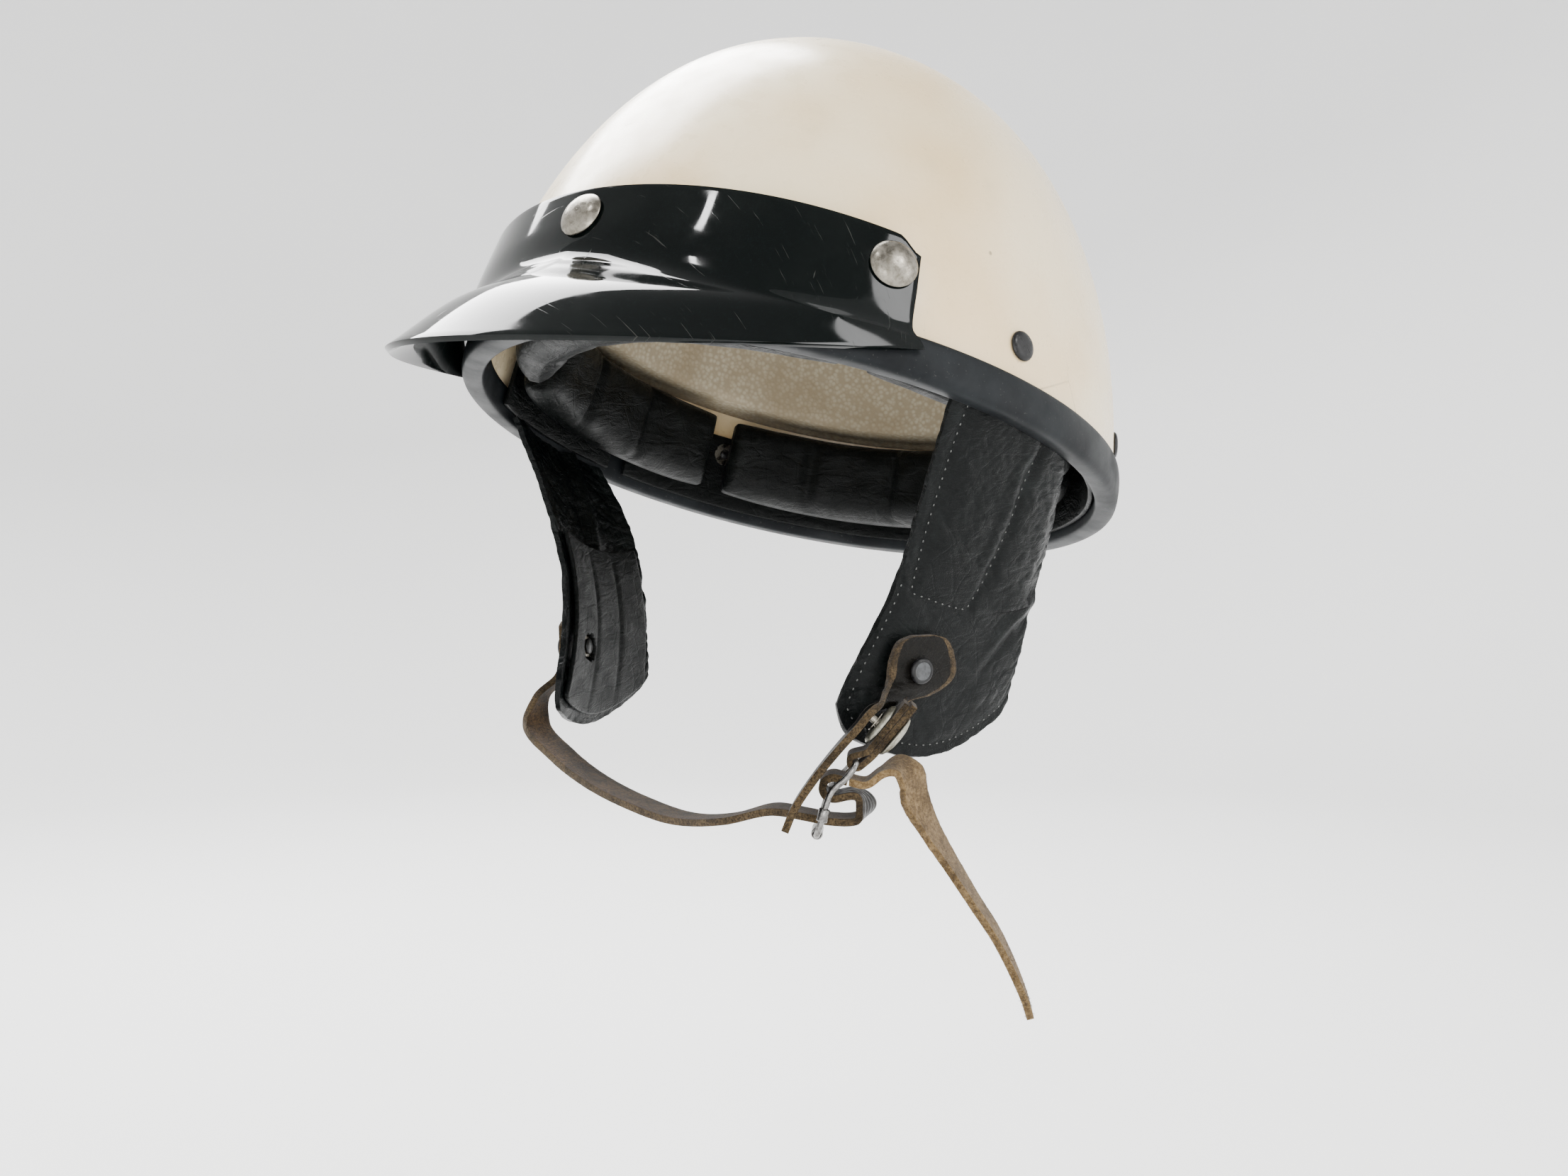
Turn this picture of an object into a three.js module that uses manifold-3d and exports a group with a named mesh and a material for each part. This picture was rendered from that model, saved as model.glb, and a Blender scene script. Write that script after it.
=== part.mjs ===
// Open-face motorcycle helmet: a fibreglass half shell with a rubber edge, a snap-on peak,
// hanging leather ear flaps and a buckled leather chin strap.
//
// Millimetres. +Z is up as the helmet is worn, -Y is the wearer's front, +X the wearer's left.
// The origin is the middle of the rim opening, where the head sits. The helmet is worn tipped
// back, so everything that belongs to the shell is built with a level rim and then pitched.
import * as THREE from 'three';
import { mergeVertices } from 'three/addons/utils/BufferGeometryUtils.js';
import Module from 'manifold-3d';

const wasm = await Module();
wasm.setup();

// ---------- driving dimensions ----------
const rimPitch = THREE.MathUtils.degToRad(17.5); // rim tipped back, front up

// shell
const shellHalfWidth = 122;
const shellHalfLength = 135;
const shellHeight = 163; // crown above the rim plane
const shellWall = 3.5;
const crownPower = 1.87; // fullness of the dome, vertically
const wallPower = 2.4; // fullness of the dome, sideways

// rubber edge
const trimHeight = 15;
const trimWall = 2.6;
const trimInnerHeight = 12;
const trimFloor = 3;
const trimInnerWall = 1.5;

// general clearances
const gap = 0.35; // between pieces that touch
const turnGap = 0.5; // between pieces that turn on each other

// lining
const foamThickness = 20;
const foamBottom = 47;
const crownPadThickness = 7;
const crownPadBottom = 96;
const bandThickness = 2.2; // leather sewn inside the rim
const bandTop = 36;
const bandBottom = 4;
const padClearance = 1.2; // from the rivets' inner ends to the head pads
const padThickness = 20;
const padBottom = 6;
const padTop = 40;

// fasteners
const rivetHeadRadius = 5.4;
const rivetHeadHeight = 1.8;
const rivetShankRadius = 2;
const washerRadius = 5;
const washerThickness = 1;
const snapCapRadius = 8.5;
const snapCapHeight = 3.6;
const snapPostRadius = 2.4;
const snapFlangeRadius = 5.6;
const snapSocketRadius = 6.9;
const snapSideSlip = 2.1; // room that lets the side sockets leave their posts on a straight pull

// peak
const peakThickness = 2;
const peakStandoff = 5.2; // middle of the peak's band, out from the shell
const peakHalfAngle = 54; // degrees round from the front
const peakReach = shellHalfLength + 55; // lip ahead of the rim's middle
const peakLipHalfWidth = shellHalfWidth * 0.87;
const peakLipBack = shellHalfLength * 0.57;

// ear flaps and straps
const flapThickness = 2.4;
const flapDrop = 110;
const jawHalfWidth = 88; // half the width across the flaps at their hem
const jawHalfLength = 130;
const jawCentre = 50; // the jaw's curve is centred this far behind the rim's middle
const liningThickness = 2.5;
const liningClearance = 1.1;
const tabStandoff = 1.8; // room for the strap tongue to rock on its rivet
const tabThickness = 2.8;
const strapThickness = 2.8;
const strapWidth = 13;
const buckleTurn = THREE.MathUtils.degToRad(34); // the strap hardware faces out and back
const wireRadius = 1.1;
const buckleWidth = 20.5; // between the middles of the two side legs
const rollerRadius = 2;
const sleeveWall = 0.45;
const studDiscRadius = 8;
const studDiscHeight = 1.9;

// ---------- materials ----------
const finish = {
  shell: new THREE.MeshStandardMaterial({ color: 0xf3e7cc, roughness: 0.35, metalness: 0 }),
  rubber: new THREE.MeshStandardMaterial({ color: 0x24282b, roughness: 0.6, metalness: 0 }),
  foam: new THREE.MeshStandardMaterial({ color: 0xe6e2d6, roughness: 0.9, metalness: 0 }),
  cloth: new THREE.MeshStandardMaterial({ color: 0x33363a, roughness: 0.9, metalness: 0 }),
  leather: new THREE.MeshStandardMaterial({ color: 0x15191a, roughness: 0.55, metalness: 0 }),
  peak: new THREE.MeshStandardMaterial({ color: 0x05090a, roughness: 0.1, metalness: 0 }),
  blackMetal: new THREE.MeshStandardMaterial({ color: 0x141516, roughness: 0.4, metalness: 0.5 }),
  nickel: new THREE.MeshStandardMaterial({ color: 0xb9b3a6, roughness: 0.35, metalness: 1 }),
  suede: new THREE.MeshStandardMaterial({ color: 0x6b5433, roughness: 0.95, metalness: 0 }),
};

// ---------- scene graph ----------
const group = new THREE.Group();
const helmet = new THREE.Group(); // level-rim frame of the shell
helmet.rotation.x = -rimPitch;
group.add(helmet);

function add(parent, name, geometry, material) {
  const mesh = new THREE.Mesh(geometry, material);
  mesh.name = name;
  parent.add(mesh);
  return mesh;
}

const X = new THREE.Vector3(1, 0, 0);
const Y = new THREE.Vector3(0, 1, 0);
const Z = new THREE.Vector3(0, 0, 1);
const vec = (x, y, z) => new THREE.Vector3(x, y, z);
const mix = THREE.MathUtils.lerp;
const radians = THREE.MathUtils.degToRad;
const wearAngle = new THREE.Quaternion().setFromAxisAngle(X, -rimPitch);
const toWorn = (point) => point.clone().applyQuaternion(wearAngle);

// ---------- mesh helpers ----------
// A closed mesh with shared vertices and its faces pointing out.
function solid(geometry) {
  const bare = geometry.clone();
  bare.deleteAttribute('normal');
  bare.deleteAttribute('uv');
  const merged = mergeVertices(bare, 1e-4);
  const index = merged.index.array;
  const at = merged.attributes.position;
  const [a, b, c] = [vec(0, 0, 0), vec(0, 0, 0), vec(0, 0, 0)];
  const kept = [];
  let volume = 0;
  for (let i = 0; i < index.length; i += 3) {
    const [ia, ib, ic] = [index[i], index[i + 1], index[i + 2]];
    if (ia === ib || ib === ic || ic === ia) continue;
    kept.push(ia, ib, ic);
    a.fromBufferAttribute(at, ia);
    b.fromBufferAttribute(at, ib);
    c.fromBufferAttribute(at, ic);
    volume += a.dot(b.cross(c));
  }
  if (volume < 0) kept.reverse();
  merged.setIndex(kept);
  return merged;
}

function toManifold(geometry) {
  const merged = solid(geometry);
  return new wasm.Manifold(new wasm.Mesh({
    numProp: 3,
    vertProperties: Float32Array.from(merged.attributes.position.array),
    triVerts: Uint32Array.from(merged.index.array),
  }));
}

function fromManifold(body) {
  const mesh = body.getMesh();
  const geometry = new THREE.BufferGeometry();
  geometry.setAttribute('position', new THREE.BufferAttribute(Float32Array.from(mesh.vertProperties), 3));
  geometry.setIndex(new THREE.BufferAttribute(Uint32Array.from(mesh.triVerts), 1));
  return geometry;
}

const cut = (geometry, cutters) =>
  fromManifold(cutters.reduce((body, cutter) => body.subtract(toManifold(cutter)), toManifold(geometry)));
const join = (geometry, others) =>
  fromManifold(others.reduce((body, other) => body.add(toManifold(other)), toManifold(geometry)));

// A turned piece: [radius, height] pairs from the axis round to the axis, or a closed ring.
function turned(profile, segments = 24) {
  const lathe = new THREE.LatheGeometry(profile.map(([r, h]) => new THREE.Vector2(r, h)), segments);
  return solid(lathe.rotateX(Math.PI / 2));
}

// A sheet: place(u, v) gives its middle surface for u and v from 0 to 1.
function sheet(place, thickness, uSteps, vSteps) {
  const box = new THREE.BoxGeometry(1, 1, 1, uSteps, vSteps, 1);
  const at = box.attributes.position;
  const before = (value) => Math.max(0, value - 1e-3);
  const after = (value) => Math.min(1, value + 1e-3);
  for (let i = 0; i < at.count; i++) {
    const u = THREE.MathUtils.clamp(at.getX(i) + 0.5, 0, 1);
    const v = THREE.MathUtils.clamp(at.getY(i) + 0.5, 0, 1);
    const along = place(after(u), v).sub(place(before(u), v));
    const across = place(u, after(v)).sub(place(u, before(v)));
    const out = along.cross(across).normalize();
    const point = place(u, v).addScaledVector(out, at.getZ(i) * thickness);
    at.setXYZ(i, point.x, point.y, point.z);
  }
  return solid(box);
}

// A flat strap through stations of { at, across, width }, with its edges slightly rounded.
function strap(stations, thickness, steps, edge = 0.3) {
  const path = new THREE.CatmullRomCurve3(stations.map((station) => station.at), false, 'centripetal');
  const last = stations.length - 1;
  const profile = new THREE.Shape([
    new THREE.Vector2(-0.5, -0.5 + edge),
    new THREE.Vector2(-0.5 + edge * 0.1, -0.5),
    new THREE.Vector2(0.5 - edge * 0.1, -0.5),
    new THREE.Vector2(0.5, -0.5 + edge),
    new THREE.Vector2(0.5, 0.5 - edge),
    new THREE.Vector2(0.5 - edge * 0.1, 0.5),
    new THREE.Vector2(-0.5 + edge * 0.1, 0.5),
    new THREE.Vector2(-0.5, 0.5 - edge),
  ]);
  const bar = new THREE.ExtrudeGeometry(profile, { depth: 1, steps, bevelEnabled: false });
  const at = bar.attributes.position;
  for (let i = 0; i < at.count; i++) {
    const t = THREE.MathUtils.clamp(at.getZ(i), 0, 1);
    const k = Math.min(Math.floor(t * last), last - 1);
    const blend = t * last - k;
    const across = stations[k].across.clone().lerp(stations[k + 1].across, blend);
    const tangent = path.getTangent(t);
    across.addScaledVector(tangent, -across.dot(tangent)).normalize();
    const face = tangent.clone().cross(across);
    const width = mix(stations[k].width, stations[k + 1].width, blend);
    const point = path.getPoint(t)
      .addScaledVector(across, at.getX(i) * width)
      .addScaledVector(face, at.getY(i) * thickness);
    at.setXYZ(i, point.x, point.y, point.z);
  }
  return solid(bar);
}

// A closed wire ring that follows a closed curve.
function wireRing(curve, radius, steps, sides) {
  const ring = new THREE.TorusGeometry(1, 0.25, sides, steps);
  const at = ring.attributes.position;
  const uv = ring.attributes.uv;
  for (let i = 0; i < at.count; i++) {
    const t = uv.getX(i) % 1;
    const turn = uv.getY(i) * 2 * Math.PI;
    const centre = curve.getPointAt(t);
    const tangent = curve.getTangentAt(t);
    const side = curve.getPointAt(0).clone().add(curve.getPointAt(0.5)).multiplyScalar(0.5).sub(centre);
    side.addScaledVector(tangent, -side.dot(tangent)).normalize();
    const lift = tangent.clone().cross(side);
    centre.addScaledVector(side, Math.cos(turn) * radius).addScaledVector(lift, Math.sin(turn) * radius);
    at.setXYZ(i, centre.x, centre.y, centre.z);
  }
  return solid(ring);
}

// A cylinder whose axis runs along a seat's normal between two heights.
function pin(seat, radius, low, high, sides = 16) {
  const cylinder = new THREE.CylinderGeometry(radius, radius, high - low, sides).rotateX(Math.PI / 2);
  return cylinder.translate(0, 0, (low + high) / 2).applyMatrix4(seat);
}

// A matrix that puts +Z on a direction and the origin on a point.
function seatAt(point, normal) {
  const turn = new THREE.Quaternion().setFromUnitVectors(Z, normal.clone().normalize());
  return new THREE.Matrix4().compose(point, turn, vec(1, 1, 1));
}

function addOn(parent, name, seat, geometry, material) {
  const mesh = add(parent, name, geometry, material);
  seat.decompose(mesh.position, mesh.quaternion, mesh.scale);
  return mesh;
}

const mirrored = (point) => vec(-point.x, point.y, point.z);

// ---------- shell ----------
const lengthRatio = shellHalfLength / shellHalfWidth;

// Half-width of the shell's outside at a height, moved in by an inset.
function shellRadius(height, inset = 0) {
  const rise = THREE.MathUtils.clamp(height / (shellHeight - inset), 0, 1);
  return (shellHalfWidth - inset) * (1 - rise ** crownPower) ** (1 / wallPower);
}

// A point on the shell's outside: angle round from the front towards the wearer's left.
function onShell(angle, height, lift = 0) {
  const radius = shellRadius(height);
  const point = vec(radius * Math.sin(angle), -radius * lengthRatio * Math.cos(angle), height);
  return point.addScaledVector(shellNormal(angle, height), lift);
}

function shellNormal(angle, height) {
  const step = 0.01;
  const at = (a, h) => vec(
    shellRadius(h) * Math.sin(a), -shellRadius(h) * lengthRatio * Math.cos(a), h);
  const round = at(angle + step, height).sub(at(angle - step, height));
  const up = at(angle, height + 1).sub(at(angle, height - 1));
  return round.cross(up).normalize();
}

// A dome between two insets, open below at a height; it closes on the axis.
function dome(outerInset, innerInset, bottom, rings, segments) {
  const arc = (inset) => {
    const height = shellHeight - inset;
    const start = Math.asin((bottom / height) ** (crownPower / 2));
    const points = [];
    for (let i = 0; i <= rings; i++) {
      const w = mix(start, Math.PI / 2, i / rings);
      const radius = i === rings ? 0 : (shellHalfWidth - inset) * Math.cos(w) ** (2 / wallPower);
      points.push([radius, height * Math.sin(w) ** (2 / crownPower)]);
    }
    return points;
  };
  const profile = [...arc(outerInset).reverse(), ...arc(innerInset)];
  return solid(turned(profile, segments).scale(1, lengthRatio, 1));
}

// seats of everything fastened through the shell, as angles round from the front
const snapSeats = {
  centre: { angle: 0, height: 39 },
  left: { angle: radians(50), height: 34 },
  right: { angle: radians(-50), height: 34 },
};
const rivetSeats = {
  front_left: { angle: radians(75), height: 27 },
  front_right: { angle: radians(-75), height: 27 },
  rear_left: { angle: radians(123), height: 29 },
  rear_right: { angle: radians(-123), height: 29 },
};
const shellSeat = ({ angle, height }) => seatAt(onShell(angle, height), shellNormal(angle, height));
// Everything lining the shell is stretched to its oval, so an inset is deeper at the front and rear.
const depthAt = ({ angle, height }, inset) =>
  inset * shellNormal(angle, height).dot(vec(Math.sin(angle), -lengthRatio * Math.cos(angle), 0));

const holeRadius = rivetShankRadius + gap;
const shellHoles = [...Object.values(snapSeats), ...Object.values(rivetSeats)]
  .map((seat) => pin(shellSeat(seat), holeRadius, -2 * shellWall, 2 * shellWall));
const shellBottom = trimFloor + gap;
add(helmet, 'outer_shell', cut(dome(0, shellWall, shellBottom, 11, 48), shellHoles), finish.shell);

// ---------- rubber edge ----------
const trimOuter = shellHalfWidth + gap + trimWall;
const trimSlotOuter = shellHalfWidth + gap;
const trimSlotInner = shellRadius(0, shellWall) - gap - 0.2;
const trimInner = trimSlotInner - trimInnerWall;
const trimProfile = [
  [trimInner + 1.2, 0],
  [trimOuter - 1.6, 0],
  [trimOuter - 0.3, 1.2],
  [trimOuter, 3.5],
  [trimOuter - 0.4, trimHeight * 0.75],
  [trimOuter - 1.5, trimHeight],
  [trimSlotOuter, trimHeight - 0.6],
  [trimSlotOuter, trimFloor],
  [trimSlotInner, trimFloor],
  [trimSlotInner - 0.6, trimInnerHeight],
  [trimInner - 0.6, trimInnerHeight - 0.5],
  [trimInner, 1.2],
];
const trimRing = turned([...trimProfile, trimProfile[0]], 48).scale(1, lengthRatio, 1);
add(helmet, 'edge_trim', solid(trimRing), finish.rubber);

// ---------- foam and crown pad ----------
const foamInset = shellWall + 2 * gap;
add(helmet, 'foam_liner', dome(foamInset, foamInset + foamThickness, foamBottom, 7, 36), finish.foam);
const crownInset = foamInset + foamThickness + 4 * gap;
add(helmet, 'crown_pad', dome(crownInset, crownInset + crownPadThickness, crownPadBottom, 5, 36), finish.cloth);

// ---------- leather bands sewn inside the rim ----------
// The middle of a band that lines the shell, at an angle and height.
const bandInset = shellHalfWidth - trimInner + 2 * gap + bandThickness / 2;
const lineShell = (angle, height, inset) => {
  const radius = shellRadius(height) - inset;
  return vec(radius * Math.sin(angle), -radius * lengthRatio * Math.cos(angle), height);
};
function bandSheet(fromAngle, toAngle, steps) {
  return sheet((u, v) => lineShell(mix(fromAngle, toAngle, u), mix(bandBottom, bandTop, v), bandInset),
    bandThickness, steps, 3);
}
const bandHole = (seat) => pin(shellSeat(seat), holeRadius, -5 * shellWall, 0);
const curtainFront = radians(60);
const curtainRear = radians(97);
const napeStart = radians(101);
for (const [side, sign] of [['left', 1], ['right', -1]]) {
  const band = bandSheet(sign * curtainFront, sign * curtainRear, 8);
  add(helmet, `curtain_band_${side}`, cut(band, [bandHole(rivetSeats[`front_${side}`])]), finish.leather);
}
const napeBand = bandSheet(napeStart, 2 * Math.PI - napeStart, 24);
add(helmet, 'nape_band', cut(napeBand, [bandHole(rivetSeats.rear_left), bandHole(rivetSeats.rear_right)]),
  finish.leather);

// ---------- head pads ----------
const rivetEndInset = bandInset + bandThickness / 2 + 3 * gap + washerThickness + 1;
const padInset = rivetEndInset + padClearance + padThickness / 2;
const padSpans = {
  brow_pad: [-48, 48],
  temple_pad_left: [51, 118],
  nape_pad: [121, 239],
  temple_pad_right: [242, 309],
};
for (const [name, [from, to]] of Object.entries(padSpans)) {
  const place = (u, v) => lineShell(radians(mix(from, to, u)), mix(padBottom, padTop, v), padInset);
  add(helmet, name, sheet(place, padThickness, 10, 2), finish.leather);
}

// ---------- harness rivets and washers ----------
for (const [place, seat] of Object.entries(rivetSeats)) {
  const bandBack = depthAt(seat, bandInset + bandThickness / 2) + 2 * gap;
  const washerBack = bandBack + washerThickness + gap;
  const head = turned([
    [0, gap + rivetHeadHeight],
    [rivetHeadRadius * 0.7, gap + rivetHeadHeight * 0.9],
    [rivetHeadRadius, gap + rivetHeadHeight * 0.45],
    [rivetHeadRadius, gap],
    [rivetShankRadius, gap],
    [rivetShankRadius, -washerBack],
    [rivetShankRadius + 1.2, -washerBack],
    [rivetShankRadius + 1, -washerBack - 1],
    [0, -washerBack - 1],
  ], 16);
  addOn(helmet, `harness_rivet_${place}`, shellSeat(seat), head, finish.blackMetal);
  const washer = turned([
    [rivetShankRadius + gap, -bandBack],
    [washerRadius, -bandBack],
    [washerRadius, -bandBack - washerThickness],
    [rivetShankRadius + gap, -bandBack - washerThickness],
    [rivetShankRadius + gap, -bandBack],
  ], 16);
  addOn(helmet, `harness_washer_${place}`, shellSeat(seat), washer, finish.nickel);
}

// ---------- peak snaps ----------
const flangeTop = gap + 1;
const socketBottom = flangeTop + gap;
const peakInside = peakStandoff - peakThickness / 2;
const postTop = peakInside - 1.2;
const socketHole = snapPostRadius + snapSideSlip;
const barrelRadius = rivetShankRadius;
const peakOutside = peakStandoff + peakThickness / 2;
for (const [place, seat] of Object.entries(snapSeats)) {
  const clinch = -depthAt(seat, shellWall) - 2 * gap;
  const stud = turned([
    [0, postTop],
    [snapPostRadius - 0.5, postTop],
    [snapPostRadius, postTop - 0.5],
    [snapPostRadius - 0.3, flangeTop],
    [snapFlangeRadius, flangeTop],
    [snapFlangeRadius, gap],
    [rivetShankRadius, gap],
    [rivetShankRadius, clinch],
    [rivetShankRadius + 1.6, clinch],
    [rivetShankRadius + 1.4, clinch - 0.8],
    [0, clinch - 0.8],
  ], 16);
  addOn(helmet, `snap_stud_${place}`, shellSeat(seat), stud, finish.nickel);
  const socket = turned([
    [socketHole, socketBottom],
    [snapSocketRadius, socketBottom],
    [snapSocketRadius, peakInside - 2 * gap],
    [socketHole, peakInside - 2 * gap],
    [socketHole, socketBottom],
  ], 24);
  addOn(helmet, `snap_socket_${place}`, shellSeat(seat), socket, finish.nickel);
  const capBase = peakOutside + gap;
  const cap = turned([
    [0, capBase + snapCapHeight],
    [snapCapRadius * 0.45, capBase + snapCapHeight * 0.9],
    [snapCapRadius * 0.8, capBase + snapCapHeight * 0.58],
    [snapCapRadius, capBase + 0.5],
    [snapCapRadius - 0.4, capBase],
    [barrelRadius, capBase],
    [barrelRadius, peakInside - 0.4],
    [0, peakInside - 0.4],
  ], 24);
  addOn(helmet, `snap_cap_${place}`, shellSeat(seat), cap, finish.nickel);
}

// ---------- peak ----------
// Rows from the band's top edge down over the crease to the lip, at u from -1 to 1 across.
const lipSlope = Math.tan(rimPitch); // the lip lies level as worn
function peakRows(u) {
  const angle = radians(peakHalfAngle) * u;
  const side = Math.abs(u);
  const top = 50 - 5 * side ** 2.5 - 5 * THREE.MathUtils.smoothstep(side, 0.93, 1);
  const crease = mix(24, 15, Math.min(1, side * 1.35));
  const turn = u * Math.PI / 2;
  const lipY = -peakLipBack - (peakReach - peakLipBack) * Math.cos(turn) ** 2.4;
  const lip = vec(peakLipHalfWidth * Math.sin(turn), lipY, 33.6 + lipSlope * lipY);
  const band = onShell(angle, top, peakStandoff);
  const middle = onShell(angle, mix(top, crease, 0.5), peakStandoff);
  const fold = onShell(angle, crease, peakStandoff + 0.6);
  const foldOut = fold.clone().lerp(lip, 0.14).add(vec(0, 0, -0.8));
  const bill = fold.clone().lerp(lip, 0.55).add(vec(0, 0, 3.2 * (1 - side ** 3)));
  return [band, middle, fold, foldOut, bill, lip];
}
const peakPlace = (u, v) => new THREE.CatmullRomCurve3(peakRows(u * 2 - 1), false, 'centripetal').getPoint(v);
const peakHoles = Object.values(snapSeats)
  .map((seat) => pin(shellSeat(seat), barrelRadius + gap, peakInside - 3, peakOutside + 3));
add(helmet, 'peak', cut(sheet(peakPlace, peakThickness, 28, 8), peakHoles), finish.peak);

// ---------- ear flaps ----------
// Half-width of the hanging leather at a place, in the shell's frame: it leaves the rim's oval
// and closes in on the jaw towards its hem.
const hingeHeight = bandBottom - 1.7;
function curtainX(y, z) {
  const oval = (a, b, centre) => a * Math.sqrt(Math.max(0.05, 1 - ((y - centre) / b) ** 2));
  const rim = oval(shellHalfWidth - bandInset, shellHalfLength - bandInset * lengthRatio, 0);
  const jaw = oval(jawHalfWidth, jawHalfLength, jawCentre);
  const drop = THREE.MathUtils.clamp((hingeHeight - z) / (flapDrop + hingeHeight), -0.1, 1.2);
  return mix(rim, jaw, Math.sin(drop * Math.PI / 2));
}
const frontEdge = new THREE.CatmullRomCurve3(
  [vec(0, -53, hingeHeight), vec(0, -39, -30), vec(0, -31, -60), vec(0, -36, -flapDrop)]);
const rearEdge = new THREE.CatmullRomCurve3(
  [vec(0, 11, hingeHeight), vec(0, 27, -22), vec(0, 36, -52), vec(0, 41, 24 - flapDrop)]);
const hemSag = 13.5;
function flapPlace(u, v, inset = 0) {
  const point = frontEdge.getPoint(v).lerp(rearEdge.getPoint(v), u);
  point.z -= hemSag * v * Math.sin(Math.PI * u);
  point.x = curtainX(point.y, point.z) - inset;
  return point;
}
// rivet through the flap, in the shell's frame
const flapRivetY = -13;
const flapRivetZ = 27 - flapDrop;
function flapNormal(y, z) {
  const dy = vec(curtainX(y + 1, z) - curtainX(y - 1, z), 2, 0);
  const dz = vec(curtainX(y, z + 1) - curtainX(y, z - 1), 0, 2);
  return dy.cross(dz).normalize();
}
const flapRivetPoint = vec(curtainX(flapRivetY, flapRivetZ), flapRivetY, flapRivetZ);
const flapRivetNormal = flapNormal(flapRivetY, flapRivetZ);
const liningInset = flapThickness / 2 + liningThickness / 2 + liningClearance;
function liningPlace(u, v) {
  return flapPlace(mix(0.08, 0.92, u), mix(0.42, 0.97, v), liningInset);
}
const mirrorX = new THREE.Matrix4().makeScale(-1, 1, 1);
const rivetTop = flapThickness / 2 + tabStandoff + tabThickness + 2 * turnGap;
for (const [side, sign] of [['left', 1], ['right', -1]]) {
  const point = sign > 0 ? flapRivetPoint : mirrored(flapRivetPoint);
  const normal = sign > 0 ? flapRivetNormal : mirrored(flapRivetNormal);
  const seat = seatAt(point, normal);
  const flap = sheet(flapPlace, flapThickness, 10, 12);
  const lining = sheet(liningPlace, liningThickness, 8, 8);
  if (sign < 0) {
    flap.applyMatrix4(mirrorX);
    lining.applyMatrix4(mirrorX);
  }
  add(helmet, `ear_flap_${side}`, cut(flap, [pin(seat, rivetShankRadius + 0.7, -4, 4)]), finish.leather);
  add(helmet, `ear_lining_${side}`, cut(lining, [pin(seat, washerRadius + 0.6, -9, 4)]), finish.cloth);
  const backFace = -flapThickness / 2 - 1;
  const rivet = turned([
    [0, rivetTop + 1.5],
    [3.4, rivetTop + 1.4],
    [4.7, rivetTop + 0.7],
    [4.7, rivetTop],
    [rivetShankRadius, rivetTop],
    [rivetShankRadius, backFace - washerThickness - gap],
    [3.2, backFace - washerThickness - gap],
    [3, backFace - washerThickness - gap - 0.8],
    [0, backFace - washerThickness - gap - 0.8],
  ], 16);
  addOn(helmet, `flap_rivet_${side}`, seat, rivet, finish.blackMetal);
  const washer = turned([
    [rivetShankRadius + gap, backFace],
    [4.4, backFace],
    [4.4, backFace - washerThickness],
    [rivetShankRadius + gap, backFace - washerThickness],
    [rivetShankRadius + gap, backFace],
  ], 16);
  addOn(helmet, `flap_washer_${side}`, seat, washer, finish.nickel);
}

// ---------- straps, as worn ----------
const rivetWorn = toWorn(flapRivetPoint);
const rivetNormalWorn = toWorn(flapRivetNormal);
// Places by the buckle are given from the flap's rivet as (aside, forward, up): aside runs out
// and back across the thickness of the straps, forward runs out and ahead along their width.
const asideAxis = vec(Math.cos(buckleTurn), Math.sin(buckleTurn), 0);
const forwardAxis = vec(Math.sin(buckleTurn), -Math.cos(buckleTurn), 0);
const byBuckle = (aside, forward, up) => rivetWorn.clone().add(vec(0, 0, up))
  .addScaledVector(asideAxis, aside).addScaledVector(forwardAxis, forward);
const rearward = forwardAxis.clone().negate();
const tabLift = flapThickness / 2 + tabStandoff + tabThickness / 2;
const strapLift = flapThickness / 2 + tabStandoff + strapThickness / 2;
// across a tongue: level, in the plane of the flap, pointing back
const tongueAcross = Z.clone().cross(rivetNormalWorn).normalize();
const tongueUp = rivetNormalWorn.clone().cross(tongueAcross).normalize();
const onTongue = (lift, up, back) => rivetWorn.clone()
  .addScaledVector(rivetNormalWorn, lift).addScaledVector(tongueUp, up).addScaledVector(tongueAcross, back);
const rivetCut = (side) => {
  const seat = side > 0 ? seatAt(rivetWorn, rivetNormalWorn)
    : seatAt(mirrored(rivetWorn), mirrored(rivetNormalWorn));
  return pin(seat, rivetShankRadius + 0.6, 0, 3 * rivetTop);
};

// jaw tab: a tongue on the rivet whose front runs on down as a strap, turned edge-on to the
// front so that its rear edge stays clear of the flap
const studAt = byBuckle(-11.4, 22, -16.4); // middle of the press stud's joint face
const studNormal = vec(0, 0, 0).addScaledVector(asideAxis, 0.77).addScaledVector(Z, -0.64).normalize();
const tabFront = new THREE.CatmullRomCurve3([
  onTongue(tabLift, 12.2, -3),
  onTongue(tabLift, 10, -8.5),
  onTongue(tabLift, 4, -11.5),
  onTongue(tabLift, -2.5, -12.3),
  byBuckle(-9.2, 16.5, -6.6),
  byBuckle(-10.6, 23.5, -10),
  byBuckle(-14, 28.5, -13),
  byBuckle(-18.6, 29.5, -18.5),
  byBuckle(-25, 31.5, -25.5),
  byBuckle(-32.5, 34.5, -34.5),
  byBuckle(-39, 37.5, -44),
  byBuckle(-42.2, 38, -51.5),
]);
const tabRear = new THREE.CatmullRomCurve3([
  onTongue(tabLift, 12.2, 6),
  onTongue(tabLift, 10.5, 11.5),
  onTongue(tabLift, 5, 15),
  onTongue(tabLift, -3, 15.5),
  onTongue(tabLift, -9, 5),
  byBuckle(-5.9, 13.8, -11),
  byBuckle(-13.6, 15.8, -12.6),
  byBuckle(-18.2, 16.5, -18.1),
  byBuckle(-24.6, 19, -25.2),
  byBuckle(-32.2, 24, -34.3),
  byBuckle(-38.8, 29, -43.8),
  byBuckle(-42, 31, -51.4),
]);
const studSeat = seatAt(studAt, studNormal);
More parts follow.
